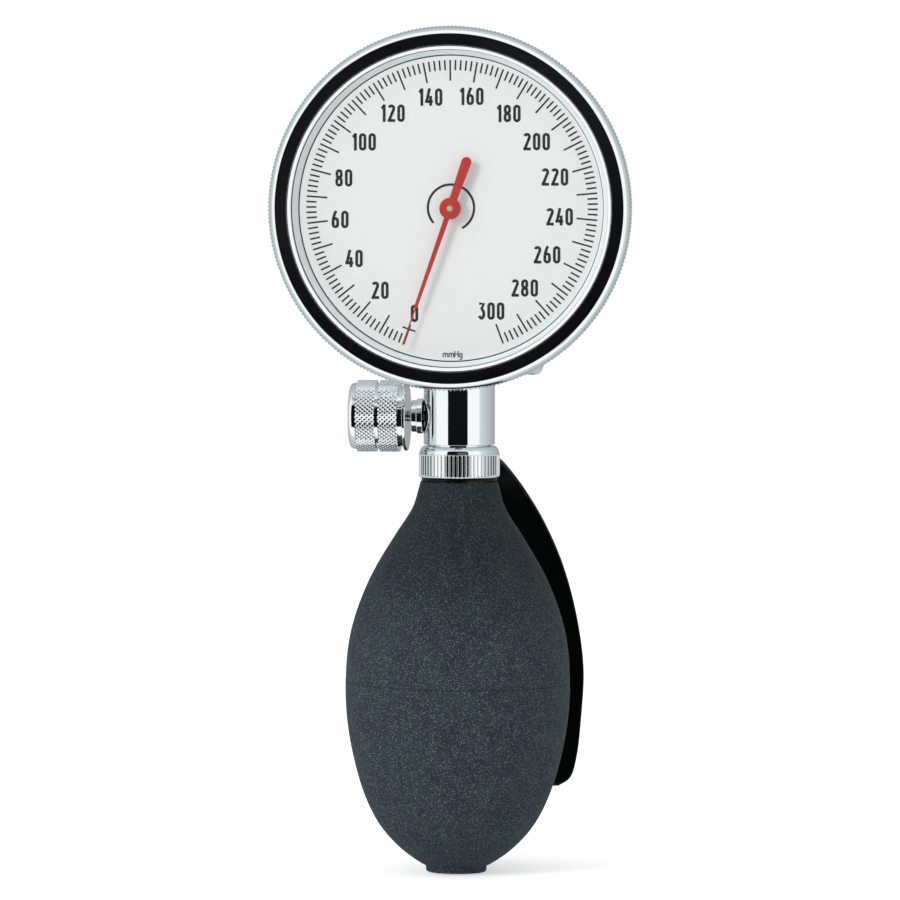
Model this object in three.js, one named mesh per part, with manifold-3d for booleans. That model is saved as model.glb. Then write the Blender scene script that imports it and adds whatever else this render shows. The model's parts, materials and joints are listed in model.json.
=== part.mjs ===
// Palm type aneroid sphygmomanometer: gauge head, air-release valve, bulb and palm spoon.
// Millimetres, +Z up, the dial faces -Y. The origin is the centre of the bulb at its widest.
import * as THREE from 'three';
import { mergeVertices } from 'three/addons/utils/BufferGeometryUtils.js';
import Module from 'manifold-3d';

const wasm = await Module();
wasm.setup();

// Clearances shared by all pieces
const seatGap = 0.1; // flat faces that rest on each other
const fitGap = 0.3; // round pieces inside each other
const overcut = 1; // a cutting tool runs this far past the face that it cuts

// Bulb
const bulbRadius = 22.6;
const bulbWall = 2.2;
const bulbUpperLength = 41.15; // widest section to the top of the neck
const bulbLowerLength = 36.4; // widest section to the top of the nub
const bulbNeckRadius = 7.74;
const bulbNeckDepth = 9;
const bulbNubRadius = 6.1;
const bulbNubWall = 1.8;
const bulbNubLength = 1.2;
const bulbNubDepth = 7;
const bulbNubChamfer = 0.5;
const bulbLeanDegrees = 0.6; // the nub stands a little to the left of the stem's axis
const flangeRecess = 1.2;

// Stem, from its lower edge to the case
const stemRadius = 7.15;
const stemLength = 16.7;
const stemEdge = 0.15;
const stemShoulder = 1.15; // the spigot below the stem is this much smaller
const stemBore = 2;
const adapterBoreDepth = 5;
const neckRadius = 4;
const neckWall = 1.5; // of the base plate's boss, in front of the neck
const valveHeight = 5.65; // valve axis above the stem's lower edge
const nippleHeight = 8.6; // nipple axis above the stem's lower edge
const nippleFlatDepth = 0.6; // flat at the back of the stem, under the nipple

// Ring nut
const nutConeWidth = 0.9;
const nutConeHeight = 1.5;
const nutFlutedHeight = 4.8;
const nutFlutes = 60;
const nutFluteDepth = 0.22;
const nutRecess = 0.4; // the spigot ends this far above the nut's lower face

// Spoon
const eyeInset = 0.75; // the eye is this much smaller than the ring nut
const eyeThickness = 0.5;
const tangHalfWidth = 5.2;
const tangFlat = 2.1; // the tang leaves the eye flat for this long
const tangGrowth = 5; // in this length behind the eye the spoon gets its full thickness
const spoonThickness = 1.2;
const spoonBowRadius = 45; // hollow of the bowl, across the hand
const spoonHalfWidth = 23.1;
const spoonReach = 34.2; // farthest distance of the bowl behind the stem's axis
const spoonHump = 3.2; // rise of the tang above its eye
const spoonTip = 23.4; // depth of the spoon's end below the widest part of the bulb

// Case, measured along Y from the stem's axis
const caseRadius = 31;
const caseRear = 8.5;
const caseFloor = 1.5;
const caseWall = 1.2;
const caseFlange = 1.3;
const caseFlangeWidth = 1.6;
const caseCorner = 3;

// Dial, glass and bezel
const dialFace = 17; // the dial's face in front of the stem's axis
const dialThickness = 0.8;
const dialHole = 1.8;
const reflectorOverlap = 0.55; // over the dial's edge
const reflectorHeight = 2.6;
const reflectorBevel = 0.8;
const gasketThickness = 0.5;
const gasketOverlap = 0.3; // inside the bezel's lip
const crystalThickness = 1;
const lipReach = 0.9; // the bezel's lip over the glass
const lipThickness = 0.4;
const lipWidth = 0.8; // from the lip's inner edge to the inlay
const lipBevel = 0.3;
const inlayWidth = 2.4;
const inlayDepth = 0.6;
const rimWidth = 1.4; // polished rim outside the inlay
const rimRoll = 1.2;
const bezelDepth = 9;
const skirtStep = 0.4; // the skirt is this much smaller than the rim
const skirtGroove = 0.6; // turned groove in the skirt
const skirtBevel = 0.5;
const clinchWall = 2.4; // rear edge of the bezel, rolled in behind the case's flange
const lugWidth = 1.6;
const lugDepth = 2.2;
const lugHeight = 0.55;
const lugRamp = 9; // the lug rises slowly from the side of the stem
const lugRoot = 1.5;
const lugDegrees = -60;

// Pressure capsule and its base plate
const basePlateThickness = 2.8;
const airWayRadius = 0.8;
const lockNutCorner = 6;
const lockNutThickness = 1.85;
const bossHalfWidth = 6;
const bossHeight = 5.6;
const bossCap = 1; // above the end of the stem's neck
const bossOverhang = 1.1; // below the disc of the base plate
const postInset = 3.5;
const postRadius = 1.9;
const capsuleSpace = 2.1; // between the capsule and the posts
const capsuleThickness = 3.6;
const capsuleRim = 0.4;
const capsuleWave = 0.5;
const capsuleWall = 0.4;
const capsuleStud = 2;
const capsuleBore = 0.9;
const padRadius = 2.4;
const padThickness = 0.3;
const padPinRadius = 0.5;
const padPinLength = 0.7;

// Movement
const plateThickness = 1;
const plateSpacing = 5.2; // between the two movement plates
const plateMargin = 2.5; // round the pillars
const plateCorner = 2;
const rearPlateInset = 1; // the rear plate is this much smaller than the base plate
const pillarRadius = 1.5;
const pillarSpread = 9.5; // to either side of the middle of the gears
const pillarAbove = 5.5; // above the pinion
const pillarBelow = 4.46; // below the sector's arbor
const screwHeadRadius = 1.4;
const screwHeadHeight = 0.9;
const postHeadRadius = 1.7;
const pivotRadius = 0.6;
const pivotInset = 0.2; // the arbors end this far inside the plates' outer faces
const pinionTeeth = 10;
const gearTeeth = 80; // of the full circle that the sector belongs to
const gearModule = 0.3;
const pinionOverhang = 0.3; // the pinion is wider than the sector by this on each side
const sectorX = 5;
const sectorThickness = 0.8;
const sectorSpace = 1.6; // between the rear plate and the sector
const sectorHub = 2.2;
const sectorCollar = 1.3;
const sectorSwing = 40; // degrees for the whole scale
const tailLength = 3.8;
const tailWidth = 0.8;
const tailContact = 0.6; // the arm touches the tail this far from its end
const rockerRadius = 0.7;
const rockerSpace = 2.6; // from the rocking shaft to the rear plate
const rockerEnd = 0.4; // the shaft stands out of its brackets by this
const lifterHalfWidth = 0.8;
const lifterEnd = 0.6; // past the middle of the capsule's pin
const armWidth = 0.7;
const armHeight = 1.2;
const armOverrun = 1.2; // past the sector's tail
const windowNear = 1.2;
const windowFar = 2.9; // room for the arm's swing
const windowSpace = 0.7;
const bracketWidth = 1;
const bracketUpper = 2.8;
const bracketSpace = 1.4; // from the arm to the lower bracket
const bracketWall = 0.5;
const springTurns = 4;
const springPitch = 0.78;
const springStart = 1.5;
const springWidth = 0.6;
const springStrip = 0.16;
const springSpace = 1.1; // between the sector and the hairspring
const colletWidth = 0.8;
const studWidth = 1;
const studHalfHeight = 0.7;

// Pointer
const hubRadius = 2.14;
const hubThickness = 1.2;
const hubClear = 1.4; // over the dial
const hubStep = 0.5;
const hubEdge = 0.25;
const arborTip = 0.4;
const tipStand = 0.2; // the arbor's tip stands out of the hub by this
const needleRear = 0.4; // from the hub's rear face
const needleThickness = 0.3;
const needleClear = 1.75; // from the tip to the reflector ring
const needleWidth = 1.1;
const needleShoulder = 20.5; // where the needle narrows to its fine tip
const needleShoulderWidth = 0.66;
const needleTipWidth = 0.26;
const pointerTail = 10.5;
const pointerTailNeck = 1.38;
const pointerTailWidth = 1.9;
const zeroDegrees = 160; // anticlockwise from the top to the zero mark

// Release valve, measured along -X from the stem's axis
const glandLength = 2.45;
const glandRadius = 3.2;
const glandShoulder = 0.9;
const glandCollar = 0.3;
const glandCollarWidth = 0.6;
const spindleRadius = 1;
const spindleInner = 2.4;
const spindleCone = 0.9;
const spindleTip = 0.4;
const spindleGrip = 6; // length of the spindle inside the knob
const knobRadius = 7.2;
const knobEdge = 0.3;
const knobFlange = 1.05;
const knobFlangeStep = 0.2;
const knobWideGroove = 1.05;
const knobWideGrooveDepth = 1;
const knobBand = 3.85;
const knobGroove = 0.7;
const knobGrooveDepth = 0.6;
const knobCapStep = 0.55;
const knobCapLength = 1.45;
const knobCapRound = 1.2;
const knobCapCrown = 0.1;

// Hose nipple at the back of the stem
const washerThickness = 0.5;
const hoseTube = 2.2;
const hoseBore = 1.2;
const hoseBarb = 0.5; // height of a barb
const hoseBarbs = 4;
const hoseBarbPitch = 2.8;
const hoseBarbEdge = 0.2;
const hoseBarbGap = 0.3;
const hoseStart = 1.4; // from the flange to the first barb
const nippleFlange = 1.6;
const nippleFlangeWidth = 1.4;
const nippleLand = 0.5; // a step in front of the flange, just wider than the barbs

// Check valves
const adapterTube = 4.4;
const adapterLength = 13.5;
const adapterFlange = 1;
const adapterFlangeWidth = 1.8;
const adapterBarb = 0.6;
const adapterBarbPitch = 3;
const adapterStart = 0.8;
const outletSeatHeight = 5;
const ballRadius = 1.6;
const ballSpace = 0.5; // round the ball in its chamber, and the width of its seat
const ballTravel = 1;
const ballRest = 0.15; // the ball lies on the seat's bevel
const seatBevel = 0.2;
const stopThickness = 0.6;
const stopBore = 0.7;
const inletSeat = 2.6;
const inletInset = 0.4;
const inletLip = 0.8;
const inletTop = 1.6; // above the stop's lower face

// Sizes of pieces that fit others
const barbRadius = adapterTube + adapterBarb;
const bulbNeckBore = barbRadius + fitGap;
const bulbNubBore = bulbNubRadius - bulbNubWall;
const adapterFlangeRadius = adapterTube + adapterFlangeWidth;
const adapterBoreRadius = adapterTube + fitGap;
const spigotRadius = stemRadius - stemShoulder;
const nutTopRadius = stemRadius + seatGap;
const nutRadius = nutTopRadius + nutConeWidth;
const eyeRadius = nutRadius - eyeInset;
const dialRadius = caseRadius;
const caseFlangeRadius = caseRadius + caseFlange;
const glassRadius = caseFlangeRadius;
const bezelLipRadius = glassRadius - lipReach;
const inlayInner = bezelLipRadius + lipWidth;
const inlayOuter = inlayInner + inlayWidth;
const bezelRadius = inlayOuter + rimWidth;
const skirtRadius = bezelRadius - skirtStep;
const reflectorInner = dialRadius - reflectorOverlap;
const needleLength = reflectorInner - needleClear;
const glandSpigot = glandRadius - glandShoulder;
const seatRadius = ballRadius - ballSpace;
const chamberRadius = ballRadius + ballSpace;
const hoseBarbRadius = hoseTube + hoseBarb;
const nippleFlangeRadius = hoseTube + nippleFlangeWidth;

// Heights along the stem's axis
const eyeBottom = bulbUpperLength + 2 * seatGap; // the eye turns over a neck that leans
const eyeTop = eyeBottom + eyeThickness;
const nutBottom = eyeTop + seatGap;
const nutTop = nutBottom + nutFlutedHeight + nutConeHeight;
const spigotBottom = nutBottom + nutRecess;
const stemBottom = nutTop + fitGap;
const caseBottom = stemBottom + stemLength;
const gaugeZ = caseBottom + caseRadius;
const valveZ = stemBottom + valveHeight;
const nippleZ = stemBottom + nippleHeight;

// Heights inside the case, from the dial's centre
const caseInner = caseRadius - caseWall;
const lockNutBottom = seatGap - Math.sqrt(caseInner ** 2 - (lockNutCorner + seatGap) ** 2);
const bossBottom = lockNutBottom + lockNutThickness + seatGap;
const bossTop = bossBottom + bossHeight;
const basePlateRadius = -bossBottom - bossOverhang;
const rearPlateRadius = basePlateRadius - rearPlateInset;
const postCircle = basePlateRadius - postInset;
const capsuleRadius = postCircle - postRadius - capsuleSpace;

// Distances in front of the stem's axis, from the back of the case to the glass
const caseInside = -(caseRear - caseFloor);
const basePlateRear = caseInside + seatGap;
const basePlateFront = basePlateRear + basePlateThickness;
const capsuleRear = basePlateFront + seatGap;
const capsuleFront = capsuleRear + capsuleThickness;
const padRear = capsuleFront + fitGap;
const padFront = padRear + padThickness + padPinLength;
const rockerAxis = padFront + fitGap + rockerRadius;
const rearPlateRear = rockerAxis + rockerSpace;
const rearPlateFront = rearPlateRear + plateThickness;
const sectorRear = rearPlateFront + sectorSpace;
const sectorFront = sectorRear + sectorThickness;
const springRear = sectorFront + springSpace;
const frontPlateRear = rearPlateFront + plateSpacing;
const frontPlateFront = frontPlateRear + plateThickness;
const dialRear = dialFace - dialThickness;
const caseFront = dialRear - seatGap;
const caseFlangeRear = caseFront - caseFlangeWidth;
const hubRear = dialFace + hubClear;
const hubFront = hubRear + hubThickness;
const reflectorRear = dialFace + seatGap;
const reflectorFront = reflectorRear + reflectorHeight;
const gasketRear = reflectorFront + seatGap;
const crystalRear = gasketRear + gasketThickness + seatGap;
const lipRear = crystalRear + crystalThickness + seatGap;
const inlayFloor = lipRear + lipThickness;
const bezelFront = inlayFloor + inlayDepth;
const bezelRear = bezelFront - bezelDepth;

// Materials
const paint = (color, metalness, roughness) => new THREE.MeshStandardMaterial({ color, metalness, roughness });
const chrome = paint(0xd4dadc, 1, 0.12);
const brass = paint(0xb79a5c, 1, 0.35);
const steel = paint(0xa9adb0, 1, 0.3);
const blackEnamel = paint(0x090c0e, 0, 0.15);
const dialWhite = paint(0xe8ebea, 0, 0.5);
const paleRing = paint(0xdfe4e3, 0.2, 0.35);
const clear = new THREE.MeshStandardMaterial({
  color: 0xffffff, roughness: 0.03, transparent: true, opacity: 0.2,
});
const redPaint = paint(0xb04a3e, 0, 0.4);
const rubber = paint(0x363f44, 0, 0.75);
const sealRubber = paint(0x202224, 0, 0.7);
const springBronze = paint(0xc08a4a, 1, 0.3);

// A clean closed geometry: shared corners joined, slivers dropped, faces pointing out.
function weld(source) {
  const plain = new THREE.BufferGeometry();
  plain.setAttribute('position', source.getAttribute('position').clone());
  if (source.index) plain.setIndex(source.index.clone());
  const merged = mergeVertices(plain, 1e-5);
  const at = merged.getAttribute('position');
  const faces = [];
  let volume = 0;
  for (let i = 0; i < merged.index.count; i += 3) {
    const [a, b, c] = [0, 1, 2].map((k) => merged.index.getX(i + k));
    if (a === b || b === c || c === a) continue;
    faces.push([a, b, c]);
    const [p, q, r] = [a, b, c].map((corner) => new THREE.Vector3().fromBufferAttribute(at, corner));
    volume += p.dot(q.cross(r));
  }
  merged.setIndex(faces.flatMap(([a, b, c]) => (volume < 0 ? [a, c, b] : [a, b, c])));
  return merged;
}

function toSolid(geometry) {
  const { index, attributes } = weld(geometry);
  const vertProperties = new Float32Array(attributes.position.array);
  const triVerts = new Uint32Array(index.array);
  return new wasm.Manifold(new wasm.Mesh({ numProp: 3, vertProperties, triVerts }));
}

function fromSolid(solid) {
  const mesh = solid.getMesh();
  const geometry = new THREE.BufferGeometry();
  geometry.setAttribute('position', new THREE.Float32BufferAttribute(mesh.vertProperties, 3));
  geometry.setIndex(Array.from(mesh.triVerts));
  return geometry;
}

const cut = (body, ...tools) =>
  fromSolid(tools.reduce((rest, tool) => rest.subtract(toSolid(tool)), toSolid(body)));
const join = (body, ...more) =>
  fromSolid(more.reduce((sum, one) => sum.add(toSolid(one)), toSolid(body)));

// Turned pieces, from [radius, height] corners. A ring's profile closes on itself.
function turned(profile, segments) {
  const onAxis = profile[0][0] === 0;
  const corners = onAxis ? profile : [...profile, profile[0]];
  return new THREE.LatheGeometry(corners.map(([r, h]) => new THREE.Vector2(r, h)), segments);
}
const upright = (profile, segments = 32) => turned(profile, segments).rotateX(Math.PI / 2);
const leftward = (profile, segments = 32) => turned(profile, segments).rotateZ(Math.PI / 2);
const forward = (profile, segments = 32) => turned(profile, segments).rotateX(Math.PI);
const ring = (inner, outer, low, high) => [[inner, low], [outer, low], [outer, high], [inner, high]];
const rod = (radius, low, high) => [[0, low], [radius, low], [radius, high], [0, high]];

// Corners of a rounding in a turned profile, from the outside round to the end face
function rounding(radius, height, size, turn = Math.PI / 2) {
  const arc = new THREE.EllipseCurve(radius - size, height - size, size, size, 0, turn);
  return arc.getPoints(3).map((p) => [p.x, p.y]);
}

// A flat piece drawn as seen from the dial's side, from its rear face towards the dial.
function plate(shape, rear, thickness) {
  const flat = new THREE.ExtrudeGeometry(shape, { depth: thickness, bevelEnabled: false, curveSegments: 9 });
  return flat.rotateX(Math.PI / 2).translate(0, -rear, 0);
}
const disc = (radius, x = 0, y = 0) => new THREE.Shape().absarc(x, y, radius, 0, 2 * Math.PI);
const polygon = (corners) => new THREE.Shape(corners.map(([x, y]) => new THREE.Vector2(x, y)));
const box = (x0, x1, y0, y1, z0, z1) =>
  new THREE.BoxGeometry(x1 - x0, y1 - y0, z1 - z0).translate((x0 + x1) / 2, (y0 + y1) / 2, (z0 + z1) / 2);

function add(parent, name, geometry, material) {
  const mesh = new THREE.Mesh(weld(geometry), material);
  mesh.name = name;
  parent.add(mesh);
}

const instrument = new THREE.Group();
const head = new THREE.Group(); // its origin is the dial's centre, on the stem's axis
head.position.z = gaugeZ;
const valve = new THREE.Group(); // its origin is where the valve's axis meets the stem's axis
valve.position.z = valveZ;
const nipple = new THREE.Group(); // its origin is where the nipple's axis meets the stem's axis
nipple.position.z = nippleZ;
const bulbGroup = new THREE.Group(); // leans about the top of the neck
bulbGroup.position.z = bulbUpperLength;
bulbGroup.rotation.y = THREE.MathUtils.degToRad(bulbLeanDegrees);
instrument.add(head, valve, nipple, bulbGroup);

// Case shell: a drawn cup with a flange that the bezel is clinched round
function caseShell() {
  const floorRadius = caseRadius - caseCorner;
  const cornerFront = caseCorner - caseRear;
  const corner = new THREE.EllipseCurve(floorRadius, cornerFront, caseCorner, caseCorner, -Math.PI / 2, 0);
  const cup = forward([
    [0, -caseRear], ...corner.getPoints(3).map((p) => [p.x, p.y]), [caseRadius, caseFlangeRear],
    [caseFlangeRadius, caseFlangeRear], [caseFlangeRadius, caseFront], [caseInner, caseFront],
    [caseInner, cornerFront], [floorRadius, caseInside], [0, caseInside],
  ], 48);
  const hole = upright(rod(neckRadius + fitGap, -caseRadius - overcut, -caseInner + caseCorner), 24);
  return cut(cup, hole);
}
add(head, 'case_shell', caseShell(), chrome);

// Bezel: turned ring with a groove for the black inlay, a rear skirt and a small pry lug
function bezel() {
  const pocket = caseFlangeRadius + fitGap;
  const clinchFront = caseFlangeRear - fitGap;
  const clinchRadius = caseRadius + fitGap;
  const grooveRadius = skirtRadius - skirtGroove;
  const grooveRear = bezelRear + skirtBevel + clinchWall;
  const grooveFront = grooveRear + 3 * skirtGroove;
  const body = forward([
    [bezelLipRadius, lipRear], [pocket, lipRear], [pocket, clinchFront], [clinchRadius, clinchFront],
    [clinchRadius, bezelRear], [skirtRadius - skirtBevel, bezelRear], [skirtRadius, bezelRear + skirtBevel],
    [skirtRadius, grooveRear - skirtGroove], [grooveRadius, grooveRear],
    [grooveRadius, grooveFront - skirtGroove], [skirtRadius, grooveFront],
    ...rounding(bezelRadius, bezelFront, rimRoll), [inlayOuter, bezelFront],
    [inlayOuter, inlayFloor], [inlayInner, inlayFloor], [inlayInner, bezelFront - seatGap],
    [bezelLipRadius, bezelFront - seatGap - lipBevel],
  ], 48);
  const lug = plate(polygon([
    [bezelRadius - lugRoot, lugWidth], [bezelRadius, lugWidth * 0.8], [bezelRadius + lugHeight, lugWidth * 0.3],
    [bezelRadius + lugHeight, -lugWidth * 0.3], [bezelRadius - lugRamp ** 2 / 2 / bezelRadius, -lugRamp],
    [bezelRadius - lugRoot - lugHeight, -lugRamp + lugWidth],
  ]), bezelFront - rimRoll - lugDepth, lugDepth);
  lug.rotateY(-THREE.MathUtils.degToRad(lugDegrees));
  return join(body, lug);
}
add(head, 'bezel_ring', bezel(), chrome);
add(head, 'bezel_inlay', forward(ring(inlayInner + seatGap, inlayOuter - seatGap,
  inlayFloor + seatGap, bezelFront - seatGap), 48), blackEnamel);
add(head, 'crystal', forward(rod(glassRadius, crystalRear, crystalRear + crystalThickness), 48), clear);
const gasketInner = bezelLipRadius - gasketOverlap;
add(head, 'crystal_gasket', forward(ring(gasketInner, glassRadius,
  gasketRear, gasketRear + gasketThickness), 48), sealRubber);
add(head, 'reflector_ring', forward([
  [reflectorInner, reflectorRear], [dialRadius, reflectorRear], [glassRadius, reflectorRear + reflectorBevel],
  [glassRadius, reflectorFront], [gasketInner, reflectorFront],
  [reflectorInner, reflectorFront - reflectorBevel],
], 48), paleRing);
add(head, 'dial_plate', forward(ring(dialHole, dialRadius, dialRear, dialFace), 48), dialWhite);

// Base plate: a disc with three posts and the boss that the stem's neck enters
const postCentres = [90, 200, 340].map(THREE.MathUtils.degToRad)
  .map((angle) => [postCircle * Math.cos(angle), postCircle * Math.sin(angle)]);
function basePlate() {
  const middle = (basePlateRear + basePlateFront) / 2;
  const postLength = rearPlateRear - seatGap - middle;
  const posts = postCentres.map(([x, y]) => plate(disc(postRadius, x, y), middle, postLength));
  const discBody = plate(disc(basePlateRadius), basePlateRear, basePlateThickness);
  const boss = box(-bossHalfWidth, bossHalfWidth, -neckRadius - neckWall, -basePlateRear, bossBottom, bossTop);
  const socketTop = bossTop - bossCap + fitGap;
  const socket = upright(rod(neckRadius + fitGap, bossBottom - overcut, socketTop), 20);
  const studHole = plate(disc(capsuleStud + fitGap), basePlateRear - overcut, basePlateThickness + 2 * overcut);
  const elbowZ = socketTop - 2 * airWayRadius;
  const airWay = upright(rod(airWayRadius, elbowZ, 0), 12).translate(0, -middle, 0);
  const elbow = plate(disc(airWayRadius, 0, elbowZ), middle, neckRadius);
  return cut(join(discBody, boss, ...posts), socket, studHole, airWay, elbow);
}
add(head, 'base_plate', basePlate(), brass);

// Capsule: two corrugated discs with a hollow stud at the back
function capsule() {
  const middle = (capsuleRear + capsuleFront) / 2;
  const half = capsuleThickness / 2;
  const crest = capsuleRadius / 6;
  const waves = [2, 3, 4, 5].map((k) => [k * crest, half - (k % 2 ? 0 : capsuleWave)]);
  const front = waves.map(([r, h]) => [r, middle + h]);
  const rear = waves.map(([r, h]) => [r, middle - h]).reverse();
  const studEnd = basePlateRear + seatGap;
  const insideFront = front.map(([r, h]) => [r, h - capsuleWall]).reverse();
  const insideRear = rear.map(([r, h]) => [r, h + capsuleWall]).reverse();
  return forward([
    [0, capsuleFront], [crest, capsuleFront], ...front, [capsuleRadius, middle + capsuleRim],
    [capsuleRadius, middle - capsuleRim], ...rear, [crest, capsuleRear], [capsuleStud, capsuleRear],
    [capsuleStud, studEnd], [capsuleBore, studEnd], [capsuleBore, capsuleRear + capsuleWall], ...insideRear,
    [capsuleRadius - 2 * capsuleWall, middle], ...insideFront, [0, capsuleFront - capsuleWall],
  ], 20);
}
add(head, 'capsule', capsule(), springBronze);
add(head, 'capsule_pad', forward([
  [0, padRear], [padRadius, padRear], [padRadius, padRear + padThickness],
  [padPinRadius, padRear + padThickness], [padPinRadius, padFront], [0, padFront],
], 20), brass);

// Places of the movement's arbors, as seen from the dial's side
const pinionPitch = gearModule * pinionTeeth / 2;
const gearPitch = gearModule * gearTeeth / 2;
const sectorZ = -Math.sqrt((pinionPitch + gearPitch) ** 2 - sectorX ** 2);
const arborPlaces = [[0, 0], [sectorX, sectorZ]];
const meshAngle = Math.atan2(-sectorZ, -sectorX);
const tailAngle = meshAngle - THREE.MathUtils.degToRad(sectorSwing / 2) - Math.PI;
const armZ = sectorZ + (tailLength - tailContact) * Math.sin(tailAngle);
const rockerX = sectorX + tailLength * Math.cos(tailAngle) - tailWidth / 2 - fitGap - armWidth / 2;
const [pillarLeft, pillarRight] = [-1, 1].map((side) => sectorX / 2 + side * pillarSpread);
const pillarLow = sectorZ - pillarBelow;
const pillarPlaces = [
  [pillarLeft, pillarAbove], [pillarRight, pillarAbove], [pillarRight, pillarLow], [pillarLeft, pillarLow],
];
const pivotHoles = (rear) => arborPlaces.map(([x, y]) =>
  plate(disc(pivotRadius + fitGap, x, y), rear - overcut, plateThickness + 2 * overcut));

// Rear plate: a disc cut straight at the bottom, with a window for the pushing arm
function rearPlate() {
  const low = pillarLow - plateMargin;
  const [rear, front] = [-rearPlateRear + overcut, -rearPlateFront - overcut];
  const lower = box(-rearPlateRadius, rearPlateRadius, front, rear, -caseRadius, low);
  const windowHalf = armHeight / 2 + windowSpace;
  const window = box(rockerX - windowNear, rockerX + windowFar, front, rear,
    armZ - windowHalf, armZ + windowHalf);
  return cut(plate(disc(rearPlateRadius), rearPlateRear, plateThickness), lower, window,
    ...pivotHoles(rearPlateRear));
}
add(head, 'rear_plate', rearPlate(), brass);

function frontPlate() {
  const outline = new THREE.Shape();
  const inset = plateMargin - plateCorner;
  outline.absarc(pillarRight + inset, pillarAbove + inset, plateCorner, 0, Math.PI / 2);
  outline.absarc(pillarLeft - inset, pillarAbove + inset, plateCorner, Math.PI / 2, Math.PI);
  outline.absarc(pillarLeft - inset, pillarLow - inset, plateCorner, Math.PI, 1.5 * Math.PI);
  outline.absarc(pillarRight + inset, pillarLow - inset, plateCorner, 1.5 * Math.PI, 2 * Math.PI);
  return cut(plate(outline, frontPlateRear, plateThickness), ...pivotHoles(frontPlateRear));
}
add(head, 'front_plate', frontPlate(), brass);

pillarPlaces.forEach(([x, z], i) => {
  const pillar = forward(rod(pillarRadius, rearPlateFront + seatGap, frontPlateRear - seatGap), 12);
  add(head, `movement_pillar_${i + 1}`, pillar.translate(x, 0, z), brass);
  const seat = frontPlateFront + seatGap;
  const screw = forward(rod(screwHeadRadius, seat, seat + screwHeadHeight), 12);
  add(head, `movement_screw_${i + 1}`, screw.translate(x, 0, z), steel);
});
postCentres.forEach(([x, z], i) => {
  const seat = rearPlateFront + seatGap;
  const screw = forward(rod(postHeadRadius, seat, seat + screwHeadHeight), 12);
  add(head, `post_screw_${i + 1}`, screw.translate(x, 0, z), steel);
});

// Rocking shaft: lifted by the capsule's pad at one arm, it pushes the sector's tail with the other
const bracketLower = armZ - armHeight / 2 - bracketSpace;
function rockingShaft() {
  const shaft = upright(rod(rockerRadius, bracketLower - rockerEnd, bracketUpper + rockerEnd), 16)
    .translate(rockerX, -rockerAxis, 0);
  const lifter = box(-lifterEnd, rockerX, -rockerAxis - rockerRadius + seatGap, -rockerAxis + rockerRadius,
    -lifterHalfWidth, lifterHalfWidth);
  const arm = box(rockerX - armWidth / 2, rockerX + armWidth / 2, -sectorFront - armOverrun, -rockerAxis,
    armZ - armHeight / 2, armZ + armHeight / 2);
  return join(shaft, lifter, arm);
}
add(head, 'rocking_shaft', rockingShaft(), steel);
[['upper', bracketUpper], ['lower', bracketLower]].forEach(([side, z]) => {
  const reach = rockerRadius + fitGap + bracketWall;
  const block = box(rockerX - reach, rockerX + reach, -(rearPlateRear - seatGap), -(rockerAxis - reach),
    z - bracketWidth / 2, z + bracketWidth / 2);
  const bore = upright(rod(rockerRadius + fitGap, z - bracketWidth, z + bracketWidth), 16);
  add(head, `shaft_bracket_${side}`, cut(block, bore.translate(rockerX, -rockerAxis, 0)), brass);
});

// Teeth as trapezoids between a root and a tip circle, thin enough to leave backlash
const toothRoot = 1.4 * gearModule;
const toothTip = 0.7 * gearModule;
function toothCorners(angle, pitchRadius) {
  const [root, tip] = [pitchRadius - toothRoot, pitchRadius + toothTip];
  const [atRoot, atTip] = [0.7 * gearModule / root, 0.4 * gearModule / tip];
  return [[root, angle - atRoot], [tip, angle - atTip], [tip, angle + atTip], [root, angle + atRoot]]
    .map(([r, a]) => [r * Math.cos(a), r * Math.sin(a)]);
}
function sectorGear() {
  const step = 2 * Math.PI / gearTeeth;
  const spareTeeth = 3;
  const count = Math.ceil(sectorSwing / 360 * gearTeeth) + spareTeeth;
  const corners = [];
  for (let k = count - 2; k >= -1; k -= 1) corners.push(...toothCorners(meshAngle - k * step, gearPitch));
  const edge = (k) => [Math.cos, Math.sin].map((turn) => (gearPitch - toothRoot) * turn(meshAngle - k * step));
  const wedge = polygon([[0, 0], edge(count - 1.4), ...corners, edge(-1.6)]);
  const middle = meshAngle - (count - spareTeeth) / 2 * step;
  const windowPlace = gearPitch * 0.617;
  const window = disc(gearPitch * 0.217, windowPlace * Math.cos(middle), windowPlace * Math.sin(middle));
  const tail = box(0, tailLength, -sectorFront, -sectorRear, -tailWidth / 2, tailWidth / 2).rotateY(-tailAngle);
  const hub = plate(disc(sectorHub), sectorRear, sectorThickness);
  const tools = [window, disc(pivotRadius + seatGap)].map((shape) =>
    plate(shape, sectorRear - overcut, sectorThickness + 2 * overcut));
  const blank = join(plate(wedge, sectorRear, sectorThickness), hub, tail);
  return cut(blank, ...tools).translate(sectorX, 0, sectorZ);
}
add(head, 'sector_gear', sectorGear(), brass);
const pivotRear = rearPlateRear + pivotInset;
const pivotFront = frontPlateFront - pivotInset;
const collarRear = sectorFront + seatGap;
add(head, 'sector_arbor', forward([
  [0, pivotRear], [pivotRadius, pivotRear], [pivotRadius, collarRear], [sectorCollar, collarRear],
  [sectorCollar, collarRear + sectorCollar / 2], [pivotRadius, collarRear + sectorCollar / 2],
  [pivotRadius, pivotFront], [0, pivotFront],
], 20).translate(sectorX, 0, sectorZ), steel);

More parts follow.
